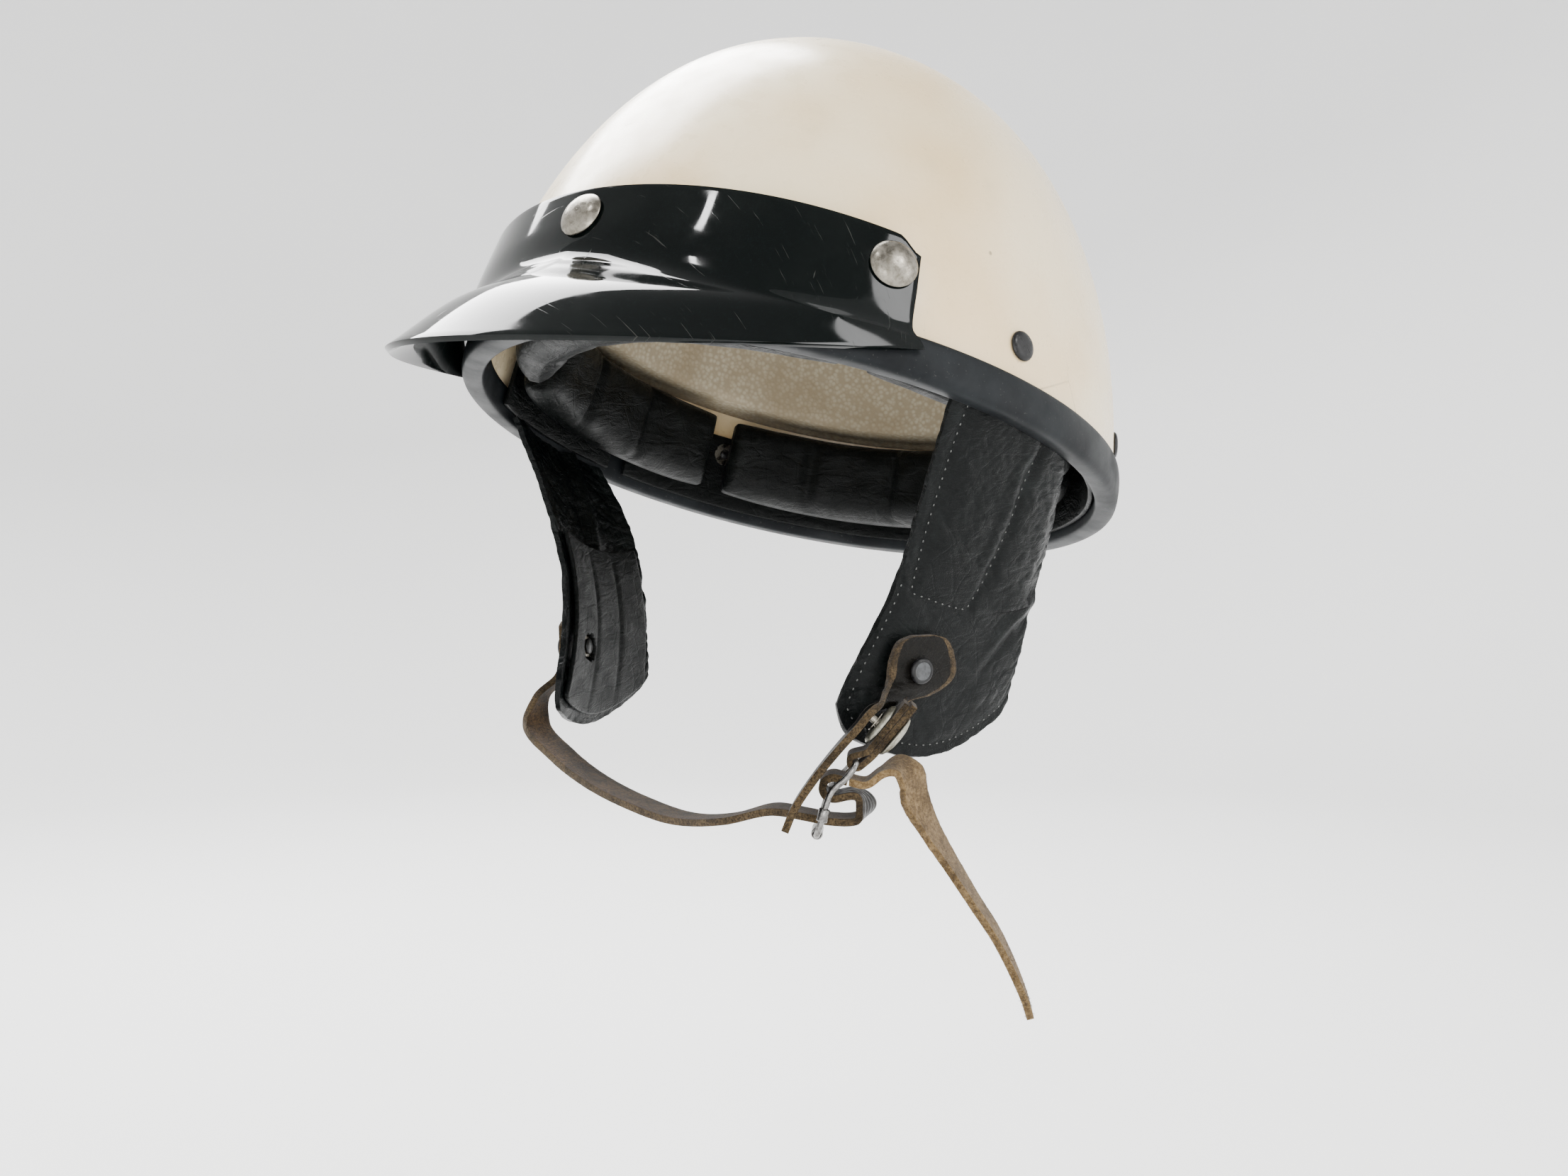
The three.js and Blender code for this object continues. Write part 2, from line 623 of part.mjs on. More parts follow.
const tabPlace = (u, v) => tabFront.getPoint(v).lerp(tabRear.getPoint(v), u);
const jawTab = cut(sheet(tabPlace, tabThickness, 4, 30), [rivetCut(1), pin(studSeat, 2, -12, 4)]);
add(group, 'jaw_tab', jawTab, finish.suede);

// press stud: a post clinched through the jaw tab, a socket and a cap on the buckle strap
const tabFace = -0.9; // outer face of the jaw tab at the stud, behind the joint face
const post = turned([
  [0, 1.2],
  [1.6, 1.2],
  [2, 0.8],
  [1.7, tabFace + gap],
  [4, tabFace + gap],
  [4, tabFace],
  [1.5, tabFace],
  [1.5, tabFace - 4.6],
  [0, tabFace - 4.6],
], 16);
addOn(group, 'press_stud_post', studSeat, post, finish.nickel);
const socketBase = 0.1;
const pressSocket = turned([
  [2.8, socketBase],
  [studDiscRadius - 1.2, socketBase],
  [studDiscRadius, socketBase + 1],
  [studDiscRadius - 0.3, socketBase + studDiscHeight],
  [2.8, socketBase + studDiscHeight],
  [2.8, socketBase],
], 24);
addOn(group, 'press_stud_socket', studSeat, pressSocket, finish.nickel);
const strapNear = socketBase + studDiscHeight + gap;
const buckleStrapThickness = 4.6;
const strapFar = strapNear + buckleStrapThickness;
const pressCap = turned([
  [0, strapFar + gap + studDiscHeight + 0.5],
  [studDiscRadius * 0.55, strapFar + gap + studDiscHeight + 0.2],
  [studDiscRadius * 0.9, strapFar + gap + studDiscHeight * 0.6],
  [studDiscRadius, strapFar + gap + 0.4],
  [studDiscRadius - 0.6, strapFar + gap],
  [1.8, strapFar + gap],
  [1.8, strapNear + 0.4],
  [0, strapNear + 0.4],
], 24);
addOn(group, 'press_stud_cap', studSeat, pressCap, finish.nickel);

// buckle strap: two layers folded round the buckle's top bar
const foldForward = 21.5;
const topBar = byBuckle(-18.5, foldForward, -29.2);
const foldRadius = wireRadius + turnGap;
const foldWall = 1.5;
const strapMiddle = studAt.clone().addScaledVector(studNormal, (strapNear + strapFar) / 2);
const along = vec(0, 0, 0).addScaledVector(asideAxis, 0.64).addScaledVector(Z, 0.77).normalize();
const inPlane = (point) => new THREE.Vector2(point.dot(asideAxis), point.z);
const middle2 = inPlane(strapMiddle);
const along2 = inPlane(along);
const normal2 = inPlane(studNormal);
const bar2 = inPlane(topBar);
const strapEdge = (up, out) => middle2.clone().addScaledVector(along2, up).addScaledVector(normal2, out);
const halfFold = buckleStrapThickness / 2;
const foldRound = Array.from({ length: 9 }, (_, i) => {
  const turn = Math.PI * i / 8;
  return bar2.clone().addScaledVector(normal2, Math.cos(turn) * (foldRadius + foldWall))
    .addScaledVector(along2, -Math.sin(turn) * (foldRadius + foldWall));
});
const foldShape = new THREE.Shape([
  strapEdge(11.5, -halfFold),
  strapEdge(12.8, -halfFold * 0.3),
  strapEdge(12.4, halfFold * 0.9),
  strapEdge(-8.2, halfFold),
  ...foldRound,
  strapEdge(-8.2, -halfFold),
]);
const bucklePlane = new THREE.Matrix4().makeBasis(asideAxis, Z, forwardAxis);
const foldSlab = new THREE.ExtrudeGeometry(foldShape, { depth: strapWidth, bevelEnabled: false });
foldSlab.translate(0, 0, topBar.dot(forwardAxis) - strapWidth / 2).applyMatrix4(bucklePlane);
const barHole = pin(seatAt(topBar, forwardAxis), foldRadius, -strapWidth, strapWidth);
const buckleStrap = cut(foldSlab, [barHole, pin(studSeat, 2.2, -2, 12)]);
add(group, 'buckle_strap', buckleStrap, finish.suede);

// buckle: a bent wire frame with a middle bar, a sleeve on its front leg and a roller
const buckleMiddle = 20.5;
const legSide = [
  [-19.4, -31.2], [-22, -34.5], [-26.4, -38.6], [-28.6, -43.5], [-30.8, -51],
];
const endBarAside = -31.8;
const endBarUp = -54;
const half = buckleWidth / 2;
const straightBar = (aside, up) => [1.6, 3, 3 - buckleWidth, 1.6 - buckleWidth]
  .map((inset) => byBuckle(aside, buckleMiddle - half + Math.abs(inset), up));
const leg = (offset) => legSide.map(([aside, up]) => byBuckle(aside, buckleMiddle + offset, up));
const frameCurve = new THREE.CatmullRomCurve3([
  ...straightBar(-18.5, -29.2),
  ...leg(half),
  ...straightBar(endBarAside, endBarUp).reverse(),
  ...leg(-half).reverse(),
], true, 'centripetal');
const midBarSeat = seatAt(byBuckle(-26.4, buckleMiddle, -38.6), forwardAxis);
const midBar = pin(midBarSeat, wireRadius * 0.98, -buckleWidth / 2, buckleWidth / 2, 8);
const frame = join(wireRing(frameCurve, wireRadius, 60, 8), [midBar]);
add(group, 'buckle_frame', frame, finish.nickel);
// the sleeve is crimped round the front leg, just above the end bar
const sleeveTop = byBuckle(-29, buckleMiddle + half, -44.8);
const sleeveEnd = byBuckle(-30.25, buckleMiddle + half, -49.1);
const sleeveLength = sleeveTop.distanceTo(sleeveEnd);
const sleeve = turned([
  [wireRadius + gap, 0],
  [wireRadius + gap + sleeveWall, 0],
  [wireRadius + gap + sleeveWall, sleeveLength],
  [wireRadius + gap, sleeveLength],
  [wireRadius + gap, 0],
], 16);
addOn(group, 'buckle_sleeve', seatAt(sleeveEnd, sleeveTop.clone().sub(sleeveEnd)), sleeve, finish.nickel);
const rollerSeat = seatAt(byBuckle(endBarAside, buckleMiddle, endBarUp), forwardAxis);
const rollerHalf = buckleWidth / 2 - 3.4;
const roller = turned([
  [wireRadius + gap, -rollerHalf],
  [rollerRadius, -rollerHalf],
  [rollerRadius, rollerHalf],
  [wireRadius + gap, rollerHalf],
  [wireRadius + gap, -rollerHalf],
], 16);
addOn(group, 'buckle_roller', rollerSeat, roller, finish.nickel);

// chin strap: from a tongue on the far rivet under the chin to the buckle, where it makes a
// loose loop and doubles back over the middle bar
const farTongue = (lift, up, back) => mirrored(onTongue(lift, up, back));
const farAcross = mirrored(tongueAcross);
const loopAside = -19.5;
const loopUp = -45.6;
const loopRadius = 4.4;
const strapForward = 20;
const loopPoint = (degrees) => byBuckle(
  loopAside + loopRadius * Math.cos(radians(degrees)), strapForward,
  loopUp + loopRadius * Math.sin(radians(degrees)));
// the round of the loop is skewed: its rear edge stands further out than its front edge
const loopAcross = (degrees) => rearward.clone()
  .addScaledVector(asideAxis, 0.4 * Math.cos(radians(degrees)) ** 2);
const barTurn = wireRadius + turnGap + 0.3 + strapThickness / 2;
const turnPoint = (degrees) => byBuckle(
  barTurn * Math.cos(radians(degrees)) - 26.4, strapForward, barTurn * Math.sin(radians(degrees)) - 38.6);
const byFar = (x, y, z) => mirrored(rivetWorn).add(vec(x, y, z));
const byNear = (x, y, z) => rivetWorn.clone().add(vec(x, y, z));
const underChin = (x, y, z) => vec(x, rivetWorn.y + y, rivetWorn.z + z);
const width = strapWidth;
const chinStations = [
  { at: farTongue(strapLift, 11, 0), across: farAcross, width: 9 },
  { at: farTongue(strapLift, 9, 0), across: farAcross, width: 15 },
  { at: farTongue(strapLift, 0, 0), across: farAcross, width: 17 },
  { at: farTongue(strapLift + 1.1, -10, -4), across: farAcross, width: 15 },
  { at: byFar(-4.6, -17.5, -19), across: farAcross, width },
  { at: byFar(-1.6, -23.5, -30), across: Y, width },
  { at: byFar(14.5, -26, -40), across: Y, width },
  { at: byFar(34.5, -29.5, -47.5), across: Y, width },
  { at: underChin(-20, -33.5, -53), across: Y, width },
  { at: underChin(6, -36.5, -56), across: Y, width },
  { at: byNear(-49.5, -39.5, -53), across: vec(-0.25, 0.97, 0), width },
  { at: byNear(-31.5, -37.5, -48), across: vec(-0.45, 0.9, 0), width },
  { at: byBuckle(-35, strapForward, -48.6), across: rearward, width },
  { at: byBuckle(-27, strapForward, -50), across: rearward, width },
  ...[-90, -45, 0, 45, 90].map((degrees) => ({ at: loopPoint(degrees), across: loopAcross(degrees), width })),
  ...[270, 225, 180, 135, 90].map((degrees) => ({ at: turnPoint(degrees), across: rearward, width })),
  { at: byBuckle(-21.5, strapForward, -36.4), across: rearward, width },
];
add(group, 'chin_strap', cut(strap(chinStations, strapThickness, 84), [rivetCut(-1)]), finish.suede);

// strap tail: the free end, which humps out of the buckle and hangs
// the tail twists as it drops, so that its flat side turns towards the front
const twisted = (aside, up, degrees) => rearward.clone().multiplyScalar(Math.cos(radians(degrees)))
  .addScaledVector(asideAxis, aside * Math.sin(radians(degrees)))
  .addScaledVector(Z, up * Math.sin(radians(degrees)));
const tailStations = [
  { at: byBuckle(-20.9, strapForward, -36.5), across: rearward, width },
  { at: byBuckle(-15, strapForward, -37.4), across: rearward, width },
  { at: byBuckle(-10, strapForward, -34), across: rearward, width },
  { at: byBuckle(-4.5, strapForward, -31.6), across: twisted(0.3, 0.95, 18), width },
  { at: byBuckle(0, strapForward, -35), across: twisted(0.85, 0.53, 38), width },
  { at: byBuckle(1.5, strapForward, -43), across: twisted(0.95, 0.31, 38), width },
  { at: byBuckle(7, strapForward, -54), across: twisted(0.88, 0.48, 24), width: 12 },
  { at: byBuckle(15, strapForward, -67), across: twisted(0.85, 0.53, 14), width: 12 },
  { at: byBuckle(22.5, strapForward, -79), across: twisted(0.84, 0.54, 11), width: 11 },
  { at: byBuckle(29, strapForward, -89), across: twisted(0.87, 0.49, 9), width: 11 },
  { at: byBuckle(34.5, strapForward, -100), across: twisted(0.91, 0.41, 7), width: 10 },
  { at: byBuckle(39, strapForward, -111), across: twisted(0.95, 0.31, 4), width: 8 },
  { at: byBuckle(41, strapForward, -118), across: twisted(0.96, 0.28, 2), width: 4 },
];
add(group, 'strap_tail', strap(tailStations, strapThickness, 36), finish.suede);

export default group;
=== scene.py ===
# Open-face motorcycle helmet: painted shell, rubber edge, glossy peak, leather ear flaps and
# a suede chin strap with a wire buckle.
import math
import random

import bmesh
import bpy
from mathutils import Matrix, Vector, noise


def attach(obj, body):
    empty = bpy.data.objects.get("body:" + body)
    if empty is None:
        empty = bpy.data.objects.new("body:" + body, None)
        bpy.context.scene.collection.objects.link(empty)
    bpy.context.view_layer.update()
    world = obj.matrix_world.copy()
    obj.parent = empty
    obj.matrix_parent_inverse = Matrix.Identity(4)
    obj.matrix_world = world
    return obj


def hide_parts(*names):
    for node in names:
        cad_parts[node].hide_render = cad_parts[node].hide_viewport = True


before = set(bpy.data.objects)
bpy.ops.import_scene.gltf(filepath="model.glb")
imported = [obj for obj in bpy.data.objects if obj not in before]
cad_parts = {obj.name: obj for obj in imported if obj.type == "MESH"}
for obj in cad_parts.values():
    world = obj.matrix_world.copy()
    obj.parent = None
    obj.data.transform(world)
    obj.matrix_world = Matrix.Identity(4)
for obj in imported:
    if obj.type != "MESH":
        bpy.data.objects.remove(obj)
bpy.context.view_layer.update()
random.seed(7)

mm = 0.001
pitch = math.radians(17.5)
tip = Matrix.Rotation(-pitch, 4, "X")
up = Vector((0, 0, 1))
mirror = Matrix.Scale(-1, 4, (1, 0, 0))

# ---------- shell sizes, in millimetres ----------
half_width = 122.0
half_length = 135.0
shell_height = 163.0
shell_wall = 3.5
shell_bottom = 3.35
crown_power = 1.87
wall_power = 2.4
long_ratio = half_length / half_width
gap = 0.35
trim_height = 15.0
trim_wall = 2.6
trim_lip = 1.5
trim_outer = half_width + gap + trim_wall
trim_slot_inner = half_width - shell_wall - gap - 0.2
trim_inner = trim_slot_inner - trim_lip
foam_wall = 20.0
foam_bottom = 47.0
crown_wall = 7.0
crown_bottom = 96.0
band_wall = 2.2  # the leather band with its stitching
band_inset = half_width - trim_inner + 2 * gap + band_wall / 2
rivet_end = 2.0  # washer and riveted-over shank, behind the band
pad_clearance = 1.2
pad_half_wall = 10.0
pad_inset = band_inset + band_wall / 2 + 3 * gap + rivet_end + pad_clearance
peak_wall = 2.0
peak_stand = 5.2
flap_drop = 110.0
flap_thickness = 2.4
flap_breadth = 62
flap_length = 112
hinge_height = 2.3
tab_standoff = 1.8  # room for the strap tongue to rock on its rivet
tab_thickness = 2.8
strap_thickness = 2.8
strap_width = 13.0
fold_layer = 2.1
fold_thickness = 4.6  # both layers of the folded strap
wire_radius = 1.1
turn_gap = 0.8


def mix(a, b, t):
    return a + (b - a) * t


def smooth(t):
    t = max(0.0, min(1.0, t))
    return t * t * (3 - 2 * t)


def shell_radius(height, inset=0.0):
    rise = max(0.0, min(1.0, height / (shell_height - inset)))
    return (half_width - inset) * (1 - rise ** crown_power) ** (1 / wall_power)


def shell_place(angle, height):
    radius = shell_radius(height)
    return Vector((radius * math.sin(angle), -radius * long_ratio * math.cos(angle), height))


def shell_normal(angle, height):
    around = shell_place(angle + 0.01, height) - shell_place(angle - 0.01, height)
    up = shell_place(angle, height + 1) - shell_place(angle, height - 1)
    return around.cross(up).normalized()


def on_shell(angle, height, lift=0.0):
    return shell_place(angle, height) + shell_normal(angle, height) * lift


def line_shell(angle, height, inset):
    radius = shell_radius(height) - inset
    return Vector((radius * math.sin(angle), -radius * long_ratio * math.cos(angle), height))


# ---------- mesh tools ----------
def smooth_object(name, bm, *materials):
    mesh = bpy.data.meshes.new(name)
    for face in bm.faces:
        face.smooth = True
    bm.to_mesh(mesh)
    bm.free()
    for material in materials:
        mesh.materials.append(material)
    made = bpy.data.objects.new(name, mesh)
    bpy.context.scene.collection.objects.link(made)
    return made


def new_piece(name, bm, body, slot, *materials, place=None):
    if place is not None:
        bmesh.ops.transform(bm, matrix=place, verts=bm.verts)
    piece = smooth_object(name, bm, *materials)
    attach(piece, body)
    return piece


def soften(piece):
    rounder = piece.modifiers.new("soften", "SUBSURF")
    rounder.levels = 1
    rounder.render_levels = 1


def thicken(piece, thickness, rim=0, back=0):
    """Gives a sheet its wall, half to each side; rim and back pick the finishes there."""
    wall = piece.modifiers.new("thicken", "SOLIDIFY")
    wall.thickness = thickness * mm
    wall.offset = 0.0
    wall.use_even_offset = False
    wall.material_offset_rim = rim
    wall.material_offset = back


def round_edges(piece, width, segments=2):
    bevel = piece.modifiers.new("round", "BEVEL")
    bevel.width = width * mm
    bevel.segments = segments
    bevel.limit_method = "ANGLE"
    bevel.angle_limit = math.radians(40)


def spun(profile, steps, stretch=1.0):
    """A turned solid from (radius, height) pairs, stretched along Y into the shell's oval."""
    bm = bmesh.new()
    verts = [bm.verts.new((r * mm, 0, h * mm)) for r, h in profile]
    for a, b in zip(verts, verts[1:]):
        bm.edges.new((a, b))
    bmesh.ops.spin(bm, geom=bm.verts[:] + bm.edges[:], cent=(0, 0, 0), axis=(0, 0, 1),
                   dvec=(0, 0, 0), angle=2 * math.pi, steps=steps, use_merge=True,
                   use_normal_flip=False, use_duplicate=False)
    bmesh.ops.remove_doubles(bm, verts=bm.verts, dist=1e-6)
    bmesh.ops.scale(bm, vec=(1, stretch, 1), verts=bm.verts)
    bmesh.ops.recalc_face_normals(bm, faces=bm.faces)
    return bm


def sheet(place, u_steps, v_steps):
    """A grid whose points go where place(u, v) says, in millimetres."""
    bm = bmesh.new()
    bmesh.ops.create_grid(bm, x_segments=u_steps, y_segments=v_steps, size=0.5)
    for vert in bm.verts:
        vert.co = place(vert.co.x + 0.5, vert.co.y + 0.5) * mm
    return bm


def seat(point, normal):
    """Stands a turned part on a place, along a direction."""
    turn = up.rotation_difference(normal).to_matrix().to_4x4()
    return Matrix.Translation(point * mm) @ turn


def shell_seat(angle, height):
    return tip @ seat(shell_place(angle, height), shell_normal(angle, height))


def catmull(points, t):
    """A centripetal curve through points, at t from 0 to 1."""
    last = len(points) - 1
    k = min(int(t * last), last - 1)
    w = t * last - k
    p1, p2 = points[k], points[k + 1]
    p0 = points[k - 1] if k > 0 else p1 * 2 - p2
    p3 = points[k + 2] if k + 2 <= last else p2 * 2 - p1
    d0 = max((p1 - p0).length, 1e-4) ** 0.5
    d1 = max((p2 - p1).length, 1e-4) ** 0.5
    d2 = max((p3 - p2).length, 1e-4) ** 0.5
    m1 = (p1 - p0) / d0 - (p2 - p0) / (d0 + d1) + (p2 - p1) / d1
    m2 = (p2 - p1) / d1 - (p3 - p1) / (d1 + d2) + (p3 - p2) / d2
    m1 = m1 * d1
    m2 = m2 * d1
    a = 2 * p1 - 2 * p2 + m1 + m2
    b = -3 * p1 + 3 * p2 - 2 * m1 - m2
    return a * w ** 3 + b * w ** 2 + m1 * w + p1


def worn(point):
    return tip.to_3x3() @ point


# ---------- finishes ----------
class Finish:
    """A shader on Object coordinates, built up node by node."""

    def __init__(self, name, colour, roughness, metallic=0.0, **sockets):
        self.material = bpy.data.materials.new(name)
        self.material.use_nodes = True
        self.tree = self.material.node_tree
        self.shader = self.tree.nodes["Principled BSDF"]
        self.set("Base Color", (*colour, 1))
        self.set("Roughness", roughness)
        self.set("Metallic", metallic)
        for socket, value in sockets.items():
            self.set(socket.replace("_", " "), value)
        self.coords = self.node("ShaderNodeTexCoord").outputs["Object"]

    def set(self, socket, value):
        self.shader.inputs[socket].default_value = value

    def node(self, kind, **inputs):
        node = self.tree.nodes.new(kind)
        for key, value in inputs.items():
            self.feed(node.inputs[key.replace("_", " ")], value)
        return node

    def feed(self, socket, value):
        if hasattr(value, "links"):
            self.tree.links.new(value, socket)
        else:
            socket.default_value = value

    def mapped(self, scale=(1, 1, 1), turn=(0, 0, 0)):
        return self.node("ShaderNodeMapping", Vector=self.coords, Scale=scale, Rotation=turn).outputs[0]

    def noise(self, scale, detail=4.0, roughness=0.55, vector=None, distortion=0.0):
        node = self.node("ShaderNodeTexNoise", Vector=vector or self.coords, Scale=scale, Detail=detail,
                         Roughness=roughness, Distortion=distortion)
        return node.outputs["Fac"]

    def cells(self, scale, feature="F1", vector=None):
        node = self.node("ShaderNodeTexVoronoi", Vector=vector or self.coords, Scale=scale)
        node.feature = feature
        return node.outputs["Distance"]

    def ramp(self, fac, low, high, from_value=0.0, to_value=1.0):
        node = self.node("ShaderNodeMapRange", Value=fac)
        node.interpolation_type = "SMOOTHSTEP"
        ends = {"From Min": low, "From Max": high, "To Min": from_value, "To Max": to_value}
        for key, value in ends.items():
            node.inputs[key].default_value = value
        return node.outputs[0]

    def blend(self, fac, a, b):
        node = self.tree.nodes.new("ShaderNodeMix")
        node.data_type = "RGBA"
        self.feed(node.inputs[0], fac)
        for socket, value in ((node.inputs[6], a), (node.inputs[7], b)):
            self.feed(socket, (*value, 1) if isinstance(value, tuple) and len(value) == 3 else value)
        return node.outputs[2]

    def math(self, operation, a, b):
        node = self.tree.nodes.new("ShaderNodeMath")
        node.operation = operation
        self.feed(node.inputs[0], a)
        self.feed(node.inputs[1], b)
        return node.outputs[0]

    def times(self, a, b):
        return self.math("MULTIPLY", a, b)

    def tint(self, colour, mask, share, other):
        """Another colour laid over where the mask is, at a share of its full strength."""
        return self.blend(self.times(mask, share), colour, other)

    def bump(self, height, strength, distance_mm, normal=None):
        node = self.node("ShaderNodeBump", Height=height, Strength=strength, Distance=distance_mm * mm)
        if normal is not None:
            self.feed(node.inputs["Normal"], normal)
        return node.outputs[0]

    def wear(self, colour=None, roughness=None, normal=None):
        for socket, value in (("Base Color", colour), ("Roughness", roughness), ("Normal", normal)):
            if value is not None:
                self.feed(self.shader.inputs[socket], value)
        return self.material


def cream_paint():
    f = Finish("aged_cream_paint", (0.86, 0.72, 0.49), 0.3, Coat_Weight=0.3, Coat_Roughness=0.2)
    warm = f.ramp(f.noise(9, 3, 0.5), 0.42, 0.68)
    grime = f.ramp(f.noise(38, 6, 0.7), 0.56, 0.78)
    colour = f.blend(warm, (0.90, 0.755, 0.50), (0.81, 0.61, 0.33))
    colour = f.tint(colour, grime, 0.16, (0.42, 0.34, 0.20))
    chips = f.ramp(f.cells(52), 0.05, 0.07, 1.0, 0.0)
    chips = f.times(chips, f.ramp(f.noise(60, 2), 0.55, 0.59))
    colour = f.tint(colour, chips, 0.85, (0.09, 0.07, 0.05))
    scratch = f.ramp(f.noise(1.0, 2, 0.5, f.mapped((30, 900, 500), (0.4, 0.3, 0.9))), 0.70, 0.74)
    scratch = f.times(scratch, f.ramp(f.noise(14, 2), 0.5, 0.62))
    colour = f.tint(colour, scratch, 0.35, (0.35, 0.28, 0.17))
    low_down = f.ramp(f.node("ShaderNodeSeparateXYZ", Vector=f.coords).outputs["Z"], 0.0, 0.05, 1.0, 0.0)
    crack = f.ramp(f.cells(17, "DISTANCE_TO_EDGE", f.mapped((1, 1, 0.6))), 0.0, 0.006, 1.0, 0.0)
    crack = f.times(f.times(crack, low_down), f.ramp(f.noise(11, 3), 0.52, 0.6))
    colour = f.tint(colour, crack, 0.7, (0.20, 0.13, 0.06))
    stain = f.times(low_down, f.ramp(f.noise(34, 6, 0.75), 0.5, 0.75))
    colour = f.tint(colour, stain, 0.35, (0.55, 0.38, 0.18))
    rough = f.math("ADD", f.ramp(f.noise(120, 4), 0.3, 0.8, 0.24, 0.40), f.times(scratch, 0.3))
    normal = f.bump(f.noise(260, 2), 0.05, 0.3)
    normal = f.bump(f.times(chips, -1.0), 0.5, 0.25, normal)
    return f.wear(colour, rough, normal)


def edge_rubber():
    f = Finish("edge_rubber", (0.008, 0.010, 0.012), 0.5, Specular_IOR_Level=0.14)
    haze = f.ramp(f.noise(26, 5, 0.65), 0.4, 0.72)
    colour = f.blend(haze, (0.003, 0.004, 0.005), (0.010, 0.012, 0.0135))
    dust = f.ramp(f.noise(900, 2), 0.66, 0.74)
    colour = f.tint(colour, dust, 0.3, (0.09, 0.09, 0.085))
    rough = f.ramp(f.noise(60, 5), 0.3, 0.75, 0.40, 0.58)
    normal = f.bump(f.noise(700, 3), 0.12, 0.2)
    normal = f.bump(f.noise(45, 2), 0.15, 0.8, normal)
    return f.wear(colour, rough, normal)


def peak_gloss():
    f = Finish("peak_gloss", (0.002, 0.004, 0.004), 0.05, Specular_IOR_Level=0.18)
    film = f.ramp(f.noise(22, 4, 0.6), 0.45, 0.75)
    colour = f.blend(film, (0.0012, 0.0024, 0.0022), (0.0035, 0.005, 0.0045))
    fine = f.ramp(f.noise(1.0, 3, 0.6, f.mapped((40, 1600, 60), (0.2, 0.1, 0.25))), 0.66, 0.72)
    deep = f.ramp(f.noise(1.0, 1, 0.5, f.mapped((900, 45, 60), (0.1, 0.4, 0.35))), 0.78, 0.80)
    marks = f.math("MAXIMUM", f.times(fine, 0.5), deep)
    colour = f.tint(colour, marks, 0.5, (0.10, 0.10, 0.09))
    rough = f.math("ADD", f.ramp(f.noise(70, 5), 0.35, 0.8, 0.035, 0.14), f.times(marks, 0.25))
    normal = f.bump(f.noise(16, 2), 0.045, 1.6)
    normal = f.bump(f.times(marks, -1.0), 0.15, 0.1, normal)
    return f.wear(colour, rough, normal)


def aged_nickel(name="aged_nickel", bright=(0.27, 0.25, 0.21), dull=(0.165, 0.15, 0.12), rough_low=0.22,
                rough_high=0.5):
    f = Finish(name, bright, 0.3, 1.0)
    stain = f.ramp(f.noise(620, 6, 0.7), 0.40, 0.66)
    pits = f.ramp(f.cells(900), 0.10, 0.16, 1.0, 0.0)
    colour = f.blend(stain, bright, dull)
    colour = f.tint(colour, pits, 0.5, (0.12, 0.10, 0.08))
    rough = f.ramp(f.noise(330, 5), 0.3, 0.75, rough_low, rough_high)
    normal = f.bump(f.times(pits, -1.0), 0.3, 0.1)
    normal = f.bump(f.noise(500, 3), 0.12, 0.12, normal)
    return f.wear(colour, rough, normal)


def black_enamel():
    f = Finish("black_enamel", (0.008, 0.008, 0.009), 0.35, Specular_IOR_Level=0.3)
    worn_away = f.ramp(f.noise(420, 5, 0.7), 0.60, 0.70)
    colour = f.blend(worn_away, (0.006, 0.006, 0.0065), (0.05, 0.048, 0.045))
    rough = f.ramp(f.noise(600, 4), 0.3, 0.75, 0.26, 0.5)
    return f.wear(colour, rough, f.bump(f.noise(800, 3), 0.15, 0.1))


def rubbed_enamel():
    f = Finish("rubbed_enamel", (0.05, 0.053, 0.056), 0.42, 0.2)
    rubbed = f.ramp(f.noise(500, 5), 0.4, 0.7)
    return f.wear(f.blend(rubbed, (0.06, 0.063, 0.067), (0.025, 0.026, 0.027)))


def grained_leather(name="grained_leather", dark=(0.0012, 0.0018, 0.0018), light=(0.004, 0.0052, 0.005),
                    rough_low=0.28, rough_high=0.46):
    f = Finish(name, dark, 0.5, Specular_IOR_Level=0.11)
    grain = f.ramp(f.cells(1150, "DISTANCE_TO_EDGE"), 0.02, 0.22)
    folds = f.ramp(f.noise(1.0, 5, 0.6, f.mapped((70, 70, 190), (0.5, 0.2, 0.1)), 1.2), 0.42, 0.62)
    creases = f.ramp(f.cells(85, "DISTANCE_TO_EDGE"), 0.0, 0.05)
    scuff = f.ramp(f.noise(55, 6, 0.7), 0.55, 0.72)
    colour = f.blend(f.times(grain, 0.6), dark, light)
    colour = f.tint(colour, scuff, 0.5, tuple(2.1 * c for c in light))
    rough = f.ramp(f.noise(90, 5), 0.3, 0.75, rough_low, rough_high)
    normal = f.bump(grain, 0.35, 0.12)
    normal = f.bump(folds, 0.35, 0.6, normal)
    normal = f.bump(creases, 0.18, 0.5, normal)
    return f.wear(colour, rough, normal)


def ribbed_strap_leather():
    f = Finish("ribbed_strap_leather", (0.006, 0.005, 0.004), 0.45, Specular_IOR_Level=0.3)
    across = f.mapped(turn=(0, 0, math.radians(56)))
    ribs = f.node("ShaderNodeTexWave", Vector=across, Scale=130.0, Distortion=0.5, Detail=2.0).outputs["Fac"]
    grain = f.ramp(f.cells(1150, "DISTANCE_TO_EDGE"), 0.02, 0.22)
    worn_face = f.ramp(f.noise(300, 6, 0.7), 0.52, 0.72)
    colour = f.blend(ribs, (0.003, 0.0028, 0.0024), (0.014, 0.012, 0.009))
    colour = f.tint(colour, worn_face, 0.6, (0.055, 0.038, 0.02))
    normal = f.bump(ribs, 0.6, 0.3, f.bump(grain, 0.3, 0.1))
    return f.wear(colour, f.ramp(f.noise(400, 4), 0.3, 0.7, 0.35, 0.6), normal)


